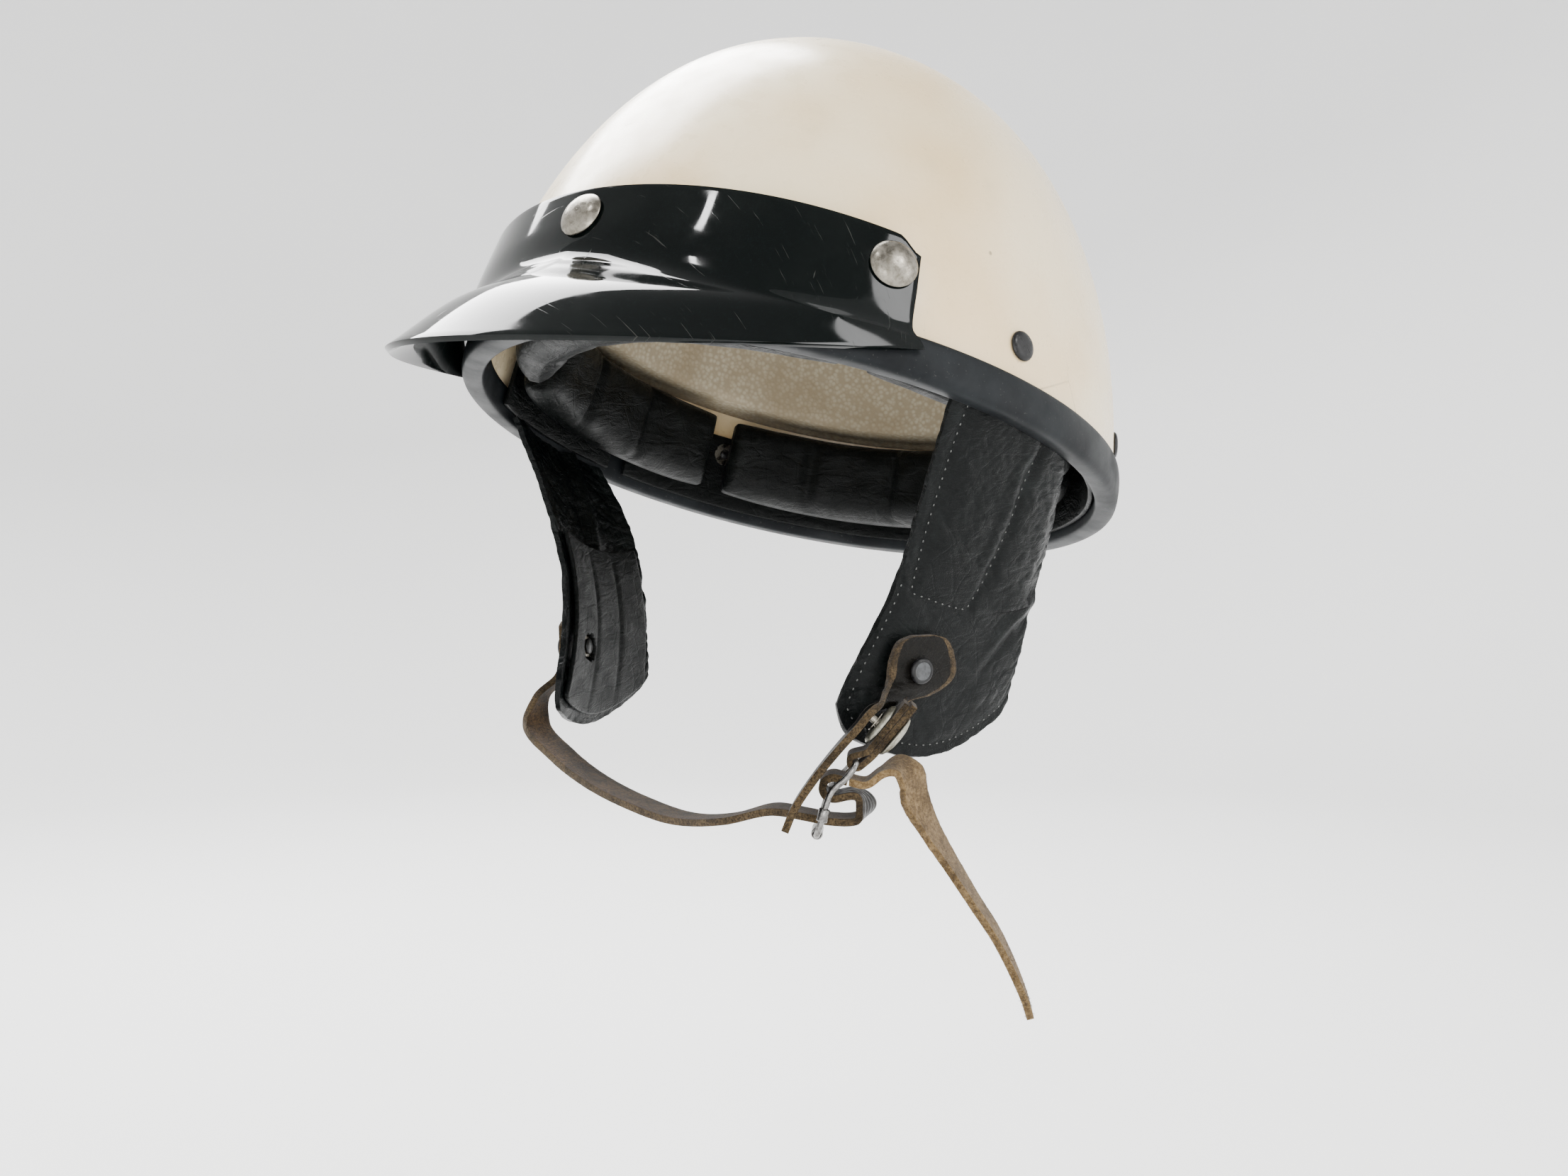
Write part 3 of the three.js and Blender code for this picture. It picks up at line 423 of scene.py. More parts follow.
def suede(name, dark, light, scale=900):
    f = Finish(name, light, 0.95, Sheen_Weight=0.15, Sheen_Roughness=0.5, Specular_IOR_Level=0.1)
    nap = f.noise(scale, 8, 0.75)
    patch = f.noise(120, 4, 0.6)
    fibres = f.noise(1.0, 4, 0.7, f.mapped((500, 500, 2200), (0.3, 0.5, 0.0)))
    colour = f.blend(f.ramp(nap, 0.34, 0.66), dark, light)
    colour = f.blend(f.ramp(patch, 0.42, 0.66, 0.0, 0.65), colour, tuple(c * 0.55 for c in dark))
    colour = f.blend(f.ramp(fibres, 0.56, 0.72, 0.0, 0.5), colour, tuple(min(1, c * 1.5) for c in light))
    normal = f.bump(nap, 0.7, 0.35)
    normal = f.bump(fibres, 0.5, 0.3, normal)
    return f.wear(colour, f.ramp(nap, 0.3, 0.7, 0.88, 1.0), normal)


def woven_cloth():
    f = Finish("lining_cloth", (0.02, 0.022, 0.024), 0.85, Sheen_Weight=0.3)
    warp = f.node("ShaderNodeTexWave", Vector=f.coords, Scale=420.0, Distortion=0.6)
    weft = f.node("ShaderNodeTexWave", Vector=f.coords, Scale=420.0, Distortion=0.6)
    weft.bands_direction = "Z"
    weave = f.times(warp.outputs["Fac"], weft.outputs["Fac"])
    colour = f.blend(weave, (0.010, 0.011, 0.012), (0.045, 0.048, 0.05))
    colour = f.blend(f.ramp(f.noise(60, 4), 0.45, 0.7, 0.0, 0.5), colour, (0.06, 0.058, 0.05))
    return f.wear(colour, None, f.bump(weave, 0.5, 0.25))


def old_foam():
    f = Finish("old_foam", (0.62, 0.55, 0.38), 0.95)
    beads = f.ramp(f.cells(520), 0.15, 0.75, 1.0, 0.0)
    colour = f.blend(beads, (0.30, 0.25, 0.17), (0.40, 0.35, 0.25))
    colour = f.blend(f.ramp(f.noise(30, 4), 0.4, 0.7, 0.0, 0.7), colour, (0.24, 0.185, 0.11))
    return f.wear(colour, None, f.bump(beads, 0.4, 0.4))


def plain_thread():
    f = Finish("stitch_thread", (0.16, 0.17, 0.16), 0.7)
    twist = f.noise(2600, 3, 0.7)
    colour = f.blend(f.ramp(twist, 0.35, 0.65), (0.05, 0.052, 0.05), (0.17, 0.175, 0.165))
    return f.wear(colour, None, f.bump(twist, 0.5, 0.1))


paint = cream_paint()
rubber = edge_rubber()
gloss = peak_gloss()
nickel = aged_nickel()
dull_nickel = aged_nickel("tarnished_white_metal", (0.38, 0.37, 0.31), (0.22, 0.21, 0.165), 0.4, 0.65)
wire_nickel = aged_nickel("buckle_nickel", (0.25, 0.245, 0.235), (0.11, 0.105, 0.1), 0.2, 0.4)
enamel = black_enamel()
rubbed_metal = rubbed_enamel()
leather = grained_leather()
inner_leather = grained_leather("lining_leather", (0.0015, 0.002, 0.002), (0.0055, 0.0065, 0.006),
                                0.36, 0.55)
ribbed_leather = ribbed_strap_leather()
strap_leather = grained_leather("strap_leather", (0.002, 0.0018, 0.0014), (0.009, 0.0075, 0.0055),
                                0.34, 0.52)
brown_suede = suede("brown_suede", (0.012, 0.007, 0.003), (0.082, 0.046, 0.018))
tan_suede = suede("tan_suede", (0.075, 0.045, 0.018), (0.23, 0.155, 0.075))
cut_edge = suede("raw_leather_edge", (0.012, 0.008, 0.004), (0.10, 0.068, 0.034), 1300)
cloth = woven_cloth()
foam = old_foam()
thread = plain_thread()

# ---------- shell, rubber edge, foam and crown pad ----------
def arc(inset, bottom, rings):
    """The dome's curve from its bottom to its top, as (radius, height) pairs."""
    height = shell_height - inset
    start = math.asin((bottom / height) ** (crown_power / 2))
    points = []
    for i in range(rings + 1):
        w = mix(start, math.pi / 2, i / rings)
        radius = 0.0 if i == rings else (half_width - inset) * math.cos(w) ** (2 / wall_power)
        points.append((radius, height * math.sin(w) ** (2 / crown_power)))
    return points


def dome(name, outer, inner, bottom, slot, material, rings=34, steps=144):
    """A hollow dome between two insets from the shell's outer face."""
    profile = arc(outer, bottom, rings)[::-1] + arc(inner, bottom, rings)
    return new_piece(name, spun(profile, steps, long_ratio), "helmet", slot, material, place=tip)


shell = dome("painted_shell", 0.0, shell_wall, shell_bottom, "shell", paint, 44, 192)
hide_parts("outer_shell")

foam_inset = shell_wall + 2 * gap
foam_piece = dome("foam_dome", foam_inset, foam_inset + foam_wall, foam_bottom, "foam", foam)
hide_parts("foam_liner")

crown_inset = foam_inset + foam_wall + 4 * gap
crown_profile = arc(crown_inset, crown_bottom, 20)[::-1] + arc(crown_inset + crown_wall, crown_bottom, 20)
crown = spun(crown_profile, 144, long_ratio)
for vert in crown.verts:  # six sewn sectors, pulled in along their seams
    lobe = abs(math.sin(3 * math.atan2(vert.co.y, vert.co.x))) ** 0.4
    inward = Vector((vert.co.x, vert.co.y, vert.co.z - 60 * mm)).normalized()
    vert.co -= inward * (0.6 + 1.2 * (1 - lobe)) * mm * (-1 if vert.co.length < 100 * mm else 1) * 0.5
crown_piece = new_piece("crown_cushion", crown, "helmet", "cloth", cloth, place=tip)
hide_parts("crown_pad")

edge_profile = [
    (trim_inner + 1.0, 0.1), (trim_inner + 3.5, 0.0), (trim_outer - 3.2, 0.0), (trim_outer - 1.4, 0.35),
    (trim_outer - 0.35, 1.6), (trim_outer, 4.0), (trim_outer, 8.0), (trim_outer - 0.3, trim_height * 0.75),
    (trim_outer - 0.9, trim_height - 1.0), (trim_outer - 1.5, trim_height - 0.2),
    (half_width + gap + 0.2, trim_height - 0.5), (half_width + gap, trim_height - 1.2),
    (half_width + gap, 3.3), (half_width + gap - 0.3, 3.0), (trim_slot_inner + 0.3, 3.0),
    (trim_slot_inner, 3.3), (trim_slot_inner - 0.5, 11.6), (trim_slot_inner - 0.9, 12.0),
    (trim_inner - 0.5, 11.8), (trim_inner - 0.6, 11.2), (trim_inner - 0.1, 2.0), (trim_inner + 0.3, 0.6),
]
edge = new_piece("rim_rubber", spun(edge_profile + edge_profile[:1], 144, long_ratio), "helmet", "rubber",
                 rubber, place=tip)
soften(edge)
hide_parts("edge_trim")


# ---------- head pads and leather bands ----------
def cushion(name, start, end, seams):
    """A sewn leather cushion along the inside of the rim, with channels across it."""
    bm = bmesh.new()
    bmesh.ops.create_cube(bm, size=1.0)
    for axis, cuts in ((0, 71), (2, 15), (1, 5)):
        lengthwise = [e for e in bm.edges if abs(e.verts[0].co[axis] - e.verts[1].co[axis]) > 0.5]
        bmesh.ops.subdivide_edges(bm, edges=lengthwise, cuts=cuts, use_grid_fill=True)
    for vert in bm.verts:
        u, v, w = vert.co.x * 2, vert.co.z * 2, vert.co.y * 2
        crowned = (1 - abs(u) ** 7) ** 0.5 * (1 - abs(v) ** 4) ** 0.5
        seam = min(abs((u + 1) / 2 * seams - k) for k in range(1, seams))
        dent = 0.30 * math.exp(-(seam / 0.055) ** 2)
        angle = math.radians(mix(start, end, (u * (0.97 + 0.03 * crowned) + 1) / 2))
        height = mix(6, 40, (v * (0.93 + 0.07 * (1 - abs(u) ** 6)) + 1) / 2)
        bulge = 0.22 + 0.78 * crowned - (dent if w > 0 else 0) * crowned
        depth = pad_inset + pad_half_wall + pad_half_wall * w * bulge
        wrinkle = noise.noise(Vector((angle * 9, height * 0.12, w))) * 0.7
        vert.co = line_shell(angle, height, depth + (wrinkle if w > 0 else 0)) * mm
    bmesh.ops.recalc_face_normals(bm, faces=bm.faces)
    piece = new_piece(name + "_cushion", bm, "helmet", "leather", inner_leather, place=tip)
    soften(piece)
    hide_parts(name)


cushion("brow_pad", -48, 48, 5)
cushion("temple_pad_left", 51, 118, 3)
cushion("nape_pad", 121, 239, 5)
cushion("temple_pad_right", 242, 309, 3)


def band(name, start, end, steps):
    def place(u, v):
        angle = math.radians(mix(start, end, u))
        height = mix(4, 36, v)
        ripple = 0.22 * noise.noise(Vector((angle * 14, height * 0.1, 4)))
        return line_shell(angle, height, band_inset + ripple)

    bm = sheet(place, steps, 12)
    piece = new_piece(name + "_leather", bm, "helmet", "leather", inner_leather, place=tip)
    thicken(piece, band_wall - 0.2)
    round_edges(piece, 0.5)
    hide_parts(name)


band("curtain_band_left", 60, 97, 40)
band("curtain_band_right", -60, -97, 40)
band("nape_band", 101, 259, 140)


# ---------- peak ----------
def peak_rows(u):
    """Points down the peak, from the band's top to the lip, at u from -1 to 1 across it."""
    angle = math.radians(54) * u
    side = abs(u)
    top = 50 - 5 * side ** 2.5 - 5 * smooth((side - 0.93) / 0.07)
    crease = mix(24, 15, min(1, side * 1.35))
    turn = u * math.pi / 2
    lip_y = -half_length * 0.57 - (half_length + 55 - half_length * 0.57) * max(0.0, math.cos(turn)) ** 2.4
    lip = Vector((half_width * 0.87 * math.sin(turn), lip_y, 33.6 + math.tan(pitch) * lip_y))
    fold = on_shell(angle, crease, peak_stand + 0.6)
    return [
        on_shell(angle, top, peak_stand),
        on_shell(angle, mix(top, crease, 0.5), peak_stand),
        fold,
        fold.lerp(lip, 0.14) + Vector((0, 0, -0.8)),
        fold.lerp(lip, 0.55) + Vector((0, 0, 3.2 * (1 - side ** 3))),
        lip,
    ]


def peak_place(u, v):
    return catmull(peak_rows(2 * u - 1), v)


peak = new_piece("moulded_peak", sheet(peak_place, 128, 48), "peak", "peak", gloss, place=tip)
thicken(peak, peak_wall)
round_edges(peak, 0.7, 3)
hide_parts("peak")

# ---------- snaps and rivets ----------
cap_base = peak_stand + peak_wall / 2 + gap
cap_profile = [
    (0, 3.6), (1.6, 3.56), (3.0, 3.42), (4.6, 3.05), (6.0, 2.5), (7.2, 1.75), (8.0, 0.95), (8.4, 0.45),
    (8.45, 0.2), (8.3, 0.0), (6.9, 0.0), (6.7, 0.3), (0, 0.3),
]
snap_seats = {"centre": (0, 39), "left": (math.radians(50), 34), "right": (math.radians(-50), 34)}
for side, (angle, height) in snap_seats.items():
    cap = spun([(r, h + cap_base) for r, h in cap_profile], 48)
    piece = new_piece("snap_dome_" + side, cap, "peak", "nickel", nickel, place=shell_seat(angle, height))
    soften(piece)
    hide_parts("snap_cap_" + side)

head_profile = [
    (0, 2.15), (2.0, 2.12), (3.5, 1.98), (4.6, 1.65), (5.2, 1.15), (5.4, 0.75), (5.35, 0.45), (5.1, 0.35),
    (2.0, 0.35), (2.0, -9.0), (2.6, -9.2), (2.4, -10.0), (0, -10.2),
]
rivet_seats = {
    "front_left": (75, 27), "front_right": (-75, 27), "rear_left": (123, 29), "rear_right": (-123, 29),
}
for side, (degrees, height) in rivet_seats.items():
    piece = new_piece("shell_rivet_" + side, spun(head_profile, 40), "helmet", "black_metal", enamel,
                      place=shell_seat(math.radians(degrees), height))
    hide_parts("harness_rivet_" + side)

# ---------- ear flaps ----------
def oval(a, b, y, centre):
    return a * math.sqrt(max(0.05, 1 - ((y - centre) / b) ** 2))


def curtain_x(y, z):
    """How far out the hanging leather is: the rim's oval above, narrowing to the jaw's."""
    rim = oval(half_width - band_inset, half_length - band_inset * long_ratio, y, 0)
    jaw = oval(88, 130, y, 50)
    drop = max(-0.1, min(1.2, (hinge_height - z) / (flap_drop + hinge_height)))
    return mix(rim, jaw, math.sin(drop * math.pi / 2))


front_edge = [Vector((0, -53, hinge_height)), Vector((0, -39, -30)), Vector((0, -31, -60)),
              Vector((0, -36, -flap_drop))]
rear_edge = [Vector((0, 11, hinge_height)), Vector((0, 27, -22)), Vector((0, 36, -52)),
             Vector((0, 41, 24 - flap_drop))]


def flap_place(u, v, inset=0.0):
    """A place on the left flap, at u from its front edge and v down from its sewn top."""
    v *= 1 - 0.055 * max(0.0, 1 - u / 0.13) ** 2.2 - 0.03 * max(0.0, (u - 0.92) / 0.08) ** 2.2
    point = catmull(front_edge, v).lerp(catmull(rear_edge, v), u)
    point.z -= 13.5 * v * math.sin(math.pi * u)
    point.x = curtain_x(point.y, point.z) - inset
    return point


def flap_normal(y, z):
    dy = Vector((curtain_x(y + 1, z) - curtain_x(y - 1, z), 2, 0))
    dz = Vector((curtain_x(y, z + 1) - curtain_x(y, z - 1), 0, 2))
    return dy.cross(dz).normalized()


def along_line(points, t):
    """A place on a broken line of (u, v) pairs at a share of its length."""
    spans = [math.dist(a, b) for a, b in zip(points, points[1:])]
    reach = t * sum(spans)
    k = 0
    while k < len(spans) - 1 and reach > spans[k]:
        reach -= spans[k]
        k += 1
    share = min(1, reach / spans[k])
    return (mix(points[k][0], points[k + 1][0], share), mix(points[k][1], points[k + 1][1], share))


# stitch lines, as (u, v) places on the flap
pocket_front = [(0.10, 0.0), (0.085, 0.12), (0.075, 0.30), (0.075, 0.45), (0.085, 0.57), (0.10, 0.635)]
pocket_foot = [(0.10, 0.635), (0.22, 0.618), (0.36, 0.607), (0.49, 0.60)]
pocket_rear = [(0.49, 0.60), (0.55, 0.50), (0.59, 0.40), (0.62, 0.29), (0.65, 0.16), (0.69, 0.06),
               (0.72, 0.0)]
hem_front = [(0.03, 0.64), (0.03, 0.80), (0.035, 0.965)]
hem_foot = [(0.035, 0.965), (0.30, 0.968), (0.60, 0.968), (0.80, 0.968), (0.965, 0.96)]
stitch_lines = [pocket_front, pocket_foot, pocket_rear, hem_front, hem_foot]


def line_distance(u, v, points):
    """How far a place on the flap is from a stitch line, in millimetres, up to 9."""
    best = 9.0
    for a, b in zip(points, points[1:]):
        px, py = (u - a[0]) * flap_breadth, (v - a[1]) * flap_length
        dx, dy = (b[0] - a[0]) * flap_breadth, (b[1] - a[1]) * flap_length
        share = max(0.0, min(1.0, (px * dx + py * dy) / (dx * dx + dy * dy)))
        best = min(best, math.hypot(px - share * dx, py - share * dy))
    return best


def edge_at(points, v):
    """The u of a stitch line at a height v."""
    for a, b in zip(points, points[1:]):
        low, high = sorted((a[1], b[1]))
        if low <= v <= high:
            return mix(a[0], b[0], (v - a[1]) / (b[1] - a[1]))
    return points[-1][0] if v > max(p[1] for p in points) else points[0][0]


def flap_swell(u, v):
    """How far the padded leather stands out at a place on the flap, in millimetres."""
    lift = 0.0
    foot = 0.635 - 0.035 * smooth((u - 0.1) / 0.4)
    if v < foot:
        left, right = edge_at(pocket_front, v), edge_at(pocket_rear, v)
        if left < u < right:
            across = (u - left) / (right - left)
            lift += 1.5 * smooth(across / 0.28) * smooth((1 - across) / 0.16) * smooth((foot - v) / 0.08)
            lift += 0.7 * math.exp(-((across - 0.84) / 0.08) ** 2) * smooth((foot - v) / 0.2)
        elif u >= right:
            across = (u - right) / (1 - right)
            lift += 1.2 * smooth(across / 0.3) * smooth((1 - across) / 0.3)
    else:
        lift += 0.5 * smooth((v - foot) / 0.08) * smooth((1 - v) / 0.06)
    seam = min(line_distance(u, v, points) for points in stitch_lines)
    lift -= 0.5 * math.exp(-(seam / 1.7) ** 2)
    fold = (v - 0.83 + 0.24 * smooth((u - 0.45) / 0.6)) * flap_length
    ridge = 1.0 * math.exp(-(fold / 3.6) ** 2) - 0.7 * math.exp(-((fold - 7.5) / 3.5) ** 2)
    lift += ridge * smooth((u - 0.5) / 0.25)
    slant = Vector((u * 2.2 + v * 3.4, v * 9.5 - u * 4.2, 0.6))
    lift += 0.75 * noise.fractal(slant, 0.8, 2.1, 4) * smooth(seam / 3)
    tuck = Vector((u * 9 - v * 4, v * 26 + u * 16, 3.1))
    wrinkles = noise.ridged_multi_fractal(tuck, 0.9, 2.0, 3, 1.0, 2.0)
    lift += 0.28 * wrinkles * smooth(seam / 4) * smooth(u / 0.15)
    lift -= 0.45
    from_tongue = math.hypot((u - 0.33) * flap_breadth, (v - 0.70) * flap_length)
    return mix(min(lift, 0.2), lift, smooth((from_tongue - 19) / 12))


rivet_y, rivet_z = -13.0, 27 - flap_drop
rivet_point = Vector((curtain_x(rivet_y, rivet_z), rivet_y, rivet_z))
rivet_normal = flap_normal(rivet_y, rivet_z)


def mirrored(point):
    return Vector((-point.x, point.y, point.z))


stitch_pitch = 3.3
stitch_lift = 1.3  # middle of a stitch above the leather's middle
stitch_length = 0.95
stitch_width = 0.52
walk_steps = 400


def flap_stitching(sign):
    """Rows of short raised stitches along the flap's stitch lines."""
    bm = bmesh.new()
    sized = Matrix.Diagonal((stitch_width * mm, stitch_width * mm, stitch_length * mm, 1))
    for row in stitch_lines:
        walk = [flap_face(*along_line(row, i / walk_steps)) for i in range(walk_steps + 1)]
        travelled, due = 0.0, stitch_pitch / 2
        for a, b in zip(walk, walk[1:]):
            travelled += (b - a).length
            if travelled < due:
                continue
            due += stitch_pitch
            made = bmesh.ops.create_uvsphere(bm, u_segments=6, v_segments=4, radius=0.5)
            lean = (b - a).normalized() + Vector((0, 0, random.uniform(-0.12, 0.12)))
            at = seat(a + rivet_normal * stitch_lift, lean.normalized())
            bmesh.ops.transform(bm, matrix=at @ sized, verts=made["verts"])
    if sign < 0:
        bmesh.ops.transform(bm, matrix=mirror, verts=bm.verts)
    bmesh.ops.recalc_face_normals(bm, faces=bm.faces)
    return bm


def flap_face(u, v):
    point = flap_place(u, v)
    return point + flap_normal(point.y, point.z) * flap_swell(u, v)


def lining_face(u, v):
    crowned = (1 - abs(2 * u - 1) ** 4) * (1 - abs(2 * v - 1) ** 4)
    seam = min(abs(u - 0.34), abs(u - 0.67)) * 52
    puff = 0.9 * crowned - 0.7 * math.exp(-(seam / 1.4) ** 2) * crowned
    return flap_place(mix(0.08, 0.92, u), mix(0.42, 0.97, v), lining_inset + puff)


def sided_sheet(place, u_steps, v_steps, sign):
    bm = sheet(place, u_steps, v_steps)
    if sign < 0:
        bmesh.ops.transform(bm, matrix=mirror, verts=bm.verts)
        bmesh.ops.reverse_faces(bm, faces=bm.faces)
    return bm


lining_inset = 3.55 + 0.3
for side, sign in (("left", 1), ("right", -1)):
    bm = sided_sheet(flap_face, 96, 150, sign)
    flap = new_piece("flap_leather_" + side, bm, side + "_flap", "leather", leather, place=tip)
    thicken(flap, flap_thickness - 0.2)
    round_edges(flap, 0.8, 3)
    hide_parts("ear_flap_" + side)
    new_piece("flap_stitching_" + side, flap_stitching(sign), side + "_flap", "leather", thread, place=tip)

    bm = sided_sheet(lining_face, 60, 72, sign)
    hole = Vector((sign * rivet_point.x, rivet_point.y, rivet_point.z)) * mm
    near = [f for f in bm.faces if (f.calc_center_median() - hole).yz.length < 5.6 * mm]
    bmesh.ops.delete(bm, geom=near, context="FACES")
    lining = new_piece("flap_padding_" + side, bm, side + "_flap", "cloth", inner_leather, place=tip)
    thicken(lining, 1.9)
    round_edges(lining, 0.6, 2)
    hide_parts("ear_lining_" + side)

    rivet_top = flap_thickness / 2 + tab_standoff + tab_thickness + 1.0
    stud = [
        (0, rivet_top + 1.35), (3.2, rivet_top + 1.32), (3.5, rivet_top + 1.42), (4.0, rivet_top + 1.42),
        (4.5, rivet_top + 1.0), (4.7, rivet_top + 0.5), (4.6, rivet_top + 0.1), (4.3, rivet_top),
        (2.0, rivet_top), (2.0, -3.5), (3.2, -3.6), (3.0, -4.3), (0, -4.4),
    ]
    at = rivet_point if sign > 0 else mirrored(rivet_point)
    out = rivet_normal if sign > 0 else mirrored(rivet_normal)
    head = spun(stud, 40)
    for face in head.faces:
        middle = face.calc_center_median()
        face.material_index = 1 if middle.xy.length < 3.25 * mm and middle.z > rivet_top * mm else 0
    piece = new_piece("flap_rivet_head_" + side, head, side + "_rivet", "black_metal", enamel, rubbed_metal,
                      place=tip @ seat(at, out))
    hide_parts("flap_rivet_" + side)

# ---------- strap places, as worn ----------
buckle_turn = math.radians(34)
aside = Vector((math.cos(buckle_turn), math.sin(buckle_turn), 0))
forward = Vector((math.sin(buckle_turn), -math.cos(buckle_turn), 0))
rearward = -forward
rivet_worn = worn(rivet_point)
rivet_out = worn(rivet_normal)
tongue_across = up.cross(rivet_out).normalized()
tongue_up = rivet_out.cross(tongue_across).normalized()
tab_lift = flap_thickness / 2 + tab_standoff + tab_thickness / 2
strap_lift = flap_thickness / 2 + tab_standoff + strap_thickness / 2


def by_buckle(a, f, u):
    return rivet_worn + aside * a + forward * f + up * u


def on_tongue(lift, high, back):
    return rivet_worn + rivet_out * lift + tongue_up * high + tongue_across * back


# ---------- jaw tab ----------
tab_front = [
    on_tongue(tab_lift, 12.2, -3), on_tongue(tab_lift, 10, -8.5), on_tongue(tab_lift, 4, -11.5),
    on_tongue(tab_lift, -2.5, -12.3), by_buckle(-9.2, 16.5, -6.6), by_buckle(-10.6, 23.5, -10),
    by_buckle(-14, 28.5, -13), by_buckle(-18.6, 29.5, -18.5), by_buckle(-25, 31.5, -25.5),
    by_buckle(-32.5, 34.5, -34.5), by_buckle(-39, 37.5, -44), by_buckle(-42.2, 38, -51.5),
]
tab_rear = [
    on_tongue(tab_lift, 12.2, 6), on_tongue(tab_lift, 10.5, 11.5), on_tongue(tab_lift, 5, 15),
    on_tongue(tab_lift, -3, 15.5), on_tongue(tab_lift, -9, 5), by_buckle(-5.9, 13.8, -11),
    by_buckle(-13.6, 15.8, -12.6), by_buckle(-18.2, 16.5, -18.1), by_buckle(-24.6, 19, -25.2),
    by_buckle(-32.2, 24, -34.3), by_buckle(-38.8, 29, -43.8), by_buckle(-42, 31, -51.4),
]


def tab_face(u, v):
    point = catmull(tab_front, v).lerp(catmull(tab_rear, v), u)
    ragged = 0.25 * noise.noise(point * 0.5)
    return point + (catmull(tab_front, v) - catmull(tab_rear, v)).normalized() * ragged


def with_raw_border(bm, across_steps, width):
    """Gives the outermost rows of a sheet's faces the finish of the cut edge."""
    bm.faces.ensure_lookup_table()
    for index, face in enumerate(bm.faces):
        column = index % across_steps
        if column < width or column >= across_steps - width or index < across_steps * 3:
            face.material_index = 1
    return bm


tab = new_piece("tab_leather", with_raw_border(sheet(tab_face, 24, 190), 24, 2), "jaw_tab", "suede",
                strap_leather, cut_edge)
thicken(tab, tab_thickness - 0.2, rim=1)
round_edges(tab, 0.45, 2)
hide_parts("jaw_tab")


def hairs(name, body, slot, material, roots, length, spread, thick):
    """Loose fibres: thin three-sided spikes standing off a surface."""
    bm = bmesh.new()
    for point, out in roots:
        made = bmesh.ops.create_cone(bm, cap_ends=True, segments=3, radius1=thick, radius2=0.01, depth=1.0)
        lean = (out + Vector([random.uniform(-spread, spread) for _ in range(3)])).normalized()
        tall = length * random.uniform(0.35, 1.0)
        turn = up.rotation_difference(lean).to_matrix().to_4x4()
        at = Matrix.Scale(mm, 4) @ Matrix.Translation(point + lean * tall * 0.42) @ turn
        bmesh.ops.transform(bm, matrix=at @ Matrix.Diagonal((1, 1, tall, 1)), verts=made["verts"])
    return new_piece(name, bm, body, slot, material)


def tangent_at(points, v):
    return (catmull(points, min(1, v + 0.01)) - catmull(points, max(0, v - 0.01))).normalized()


def edge_roots(count, thickness):
    """Where fibres stand on the tab's cut edges, and which way they point."""
    roots = []
    for _ in range(count):
        v = random.uniform(0, 1)
        a, b = catmull(tab_front, v), catmull(tab_rear, v)
        outward = (a - b).normalized()
        face = outward.cross(tangent_at(tab_front, v)).normalized()
        offset = random.uniform(-0.5, 0.5) * thickness
        if random.random() < 0.6:
            roots.append((a + face * offset, outward))
        else:
            roots.append((b + face * offset, -outward))
    return roots


hairs("tab_edge_fibres", "jaw_tab", "suede", cut_edge, edge_roots(900, tab_thickness * 0.8), 0.7, 0.9, 0.06)

# ---------- press stud ----------
stud_at = by_buckle(-11.4, 22, -16.4)
stud_out = (aside * 0.77 - up * 0.64).normalized()
stud_seat = seat(stud_at, stud_out)
socket = spun([(2.9, 0.15), (3.4, 0.12), (6.6, 0.12), (7.2, 0.35), (7.8, 1.0), (8.0, 1.4), (7.8, 1.9),
               (7.1, 2.0), (3.2, 1.95), (2.9, 1.7), (2.9, 0.15)], 56)
socket_piece = new_piece("stud_socket_disc", socket, "chin_strap", "nickel", dull_nickel, place=stud_seat)
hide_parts("press_stud_socket")
strap_near = 0.1 + 1.9 + gap  # along the stud, where the folded strap begins and ends
strap_far = strap_near + fold_thickness
cap_top = strap_far + gap
cap_dome = [(0, 2.4), (2.0, 2.36), (4.4, 2.1), (6.2, 1.6), (7.5, 1.0), (7.95, 0.5), (8.0, 0.2), (7.6, 0),
            (1.8, 0)]
cap = spun([(r, cap_top + h) for r, h in cap_dome] + [(1.8, strap_near + 0.5), (0, strap_near + 0.5)], 56)
cap_piece = new_piece("stud_cap_disc", cap, "chin_strap", "nickel", dull_nickel, place=stud_seat)
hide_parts("press_stud_cap")


# ---------- buckle strap: two layers folded round the top bar ----------
def strap_at(stations, v):
    """The middle, the direction across and the width of a strap, at v along its stations."""
    points, sides, widths = zip(*stations)
    wide = catmull([Vector((width, 0, 0)) for width in widths], v).x
    return catmull(points, v), catmull(sides, v).normalized(), wide


def flat_strap(name, stations, thickness, steps, body, slot, *materials, rough=0.15, back=0):
    """A flat strap through (point, direction across, width) stations."""
    def place(u, v):
        point, side, wide = strap_at(stations, v)
        offset = (u - 0.5) * (wide + rough * 2 * noise.noise(point * 0.6 + Vector((u * 9, 0, 0))))
        return point + side * offset

    piece = new_piece(name, sheet(place, 14, steps), body, slot, *materials)
    thicken(piece, thickness, rim=1, back=back)
    round_edges(piece, 0.4, 2)
    return piece


fold_forward = 21.5
strap_middle = stud_at + stud_out * (strap_near + strap_far) / 2
strap_run = (aside * 0.64 + up * 0.77).normalized()


def fold_point(high, out):
    return strap_middle + strap_run * high + stud_out * out


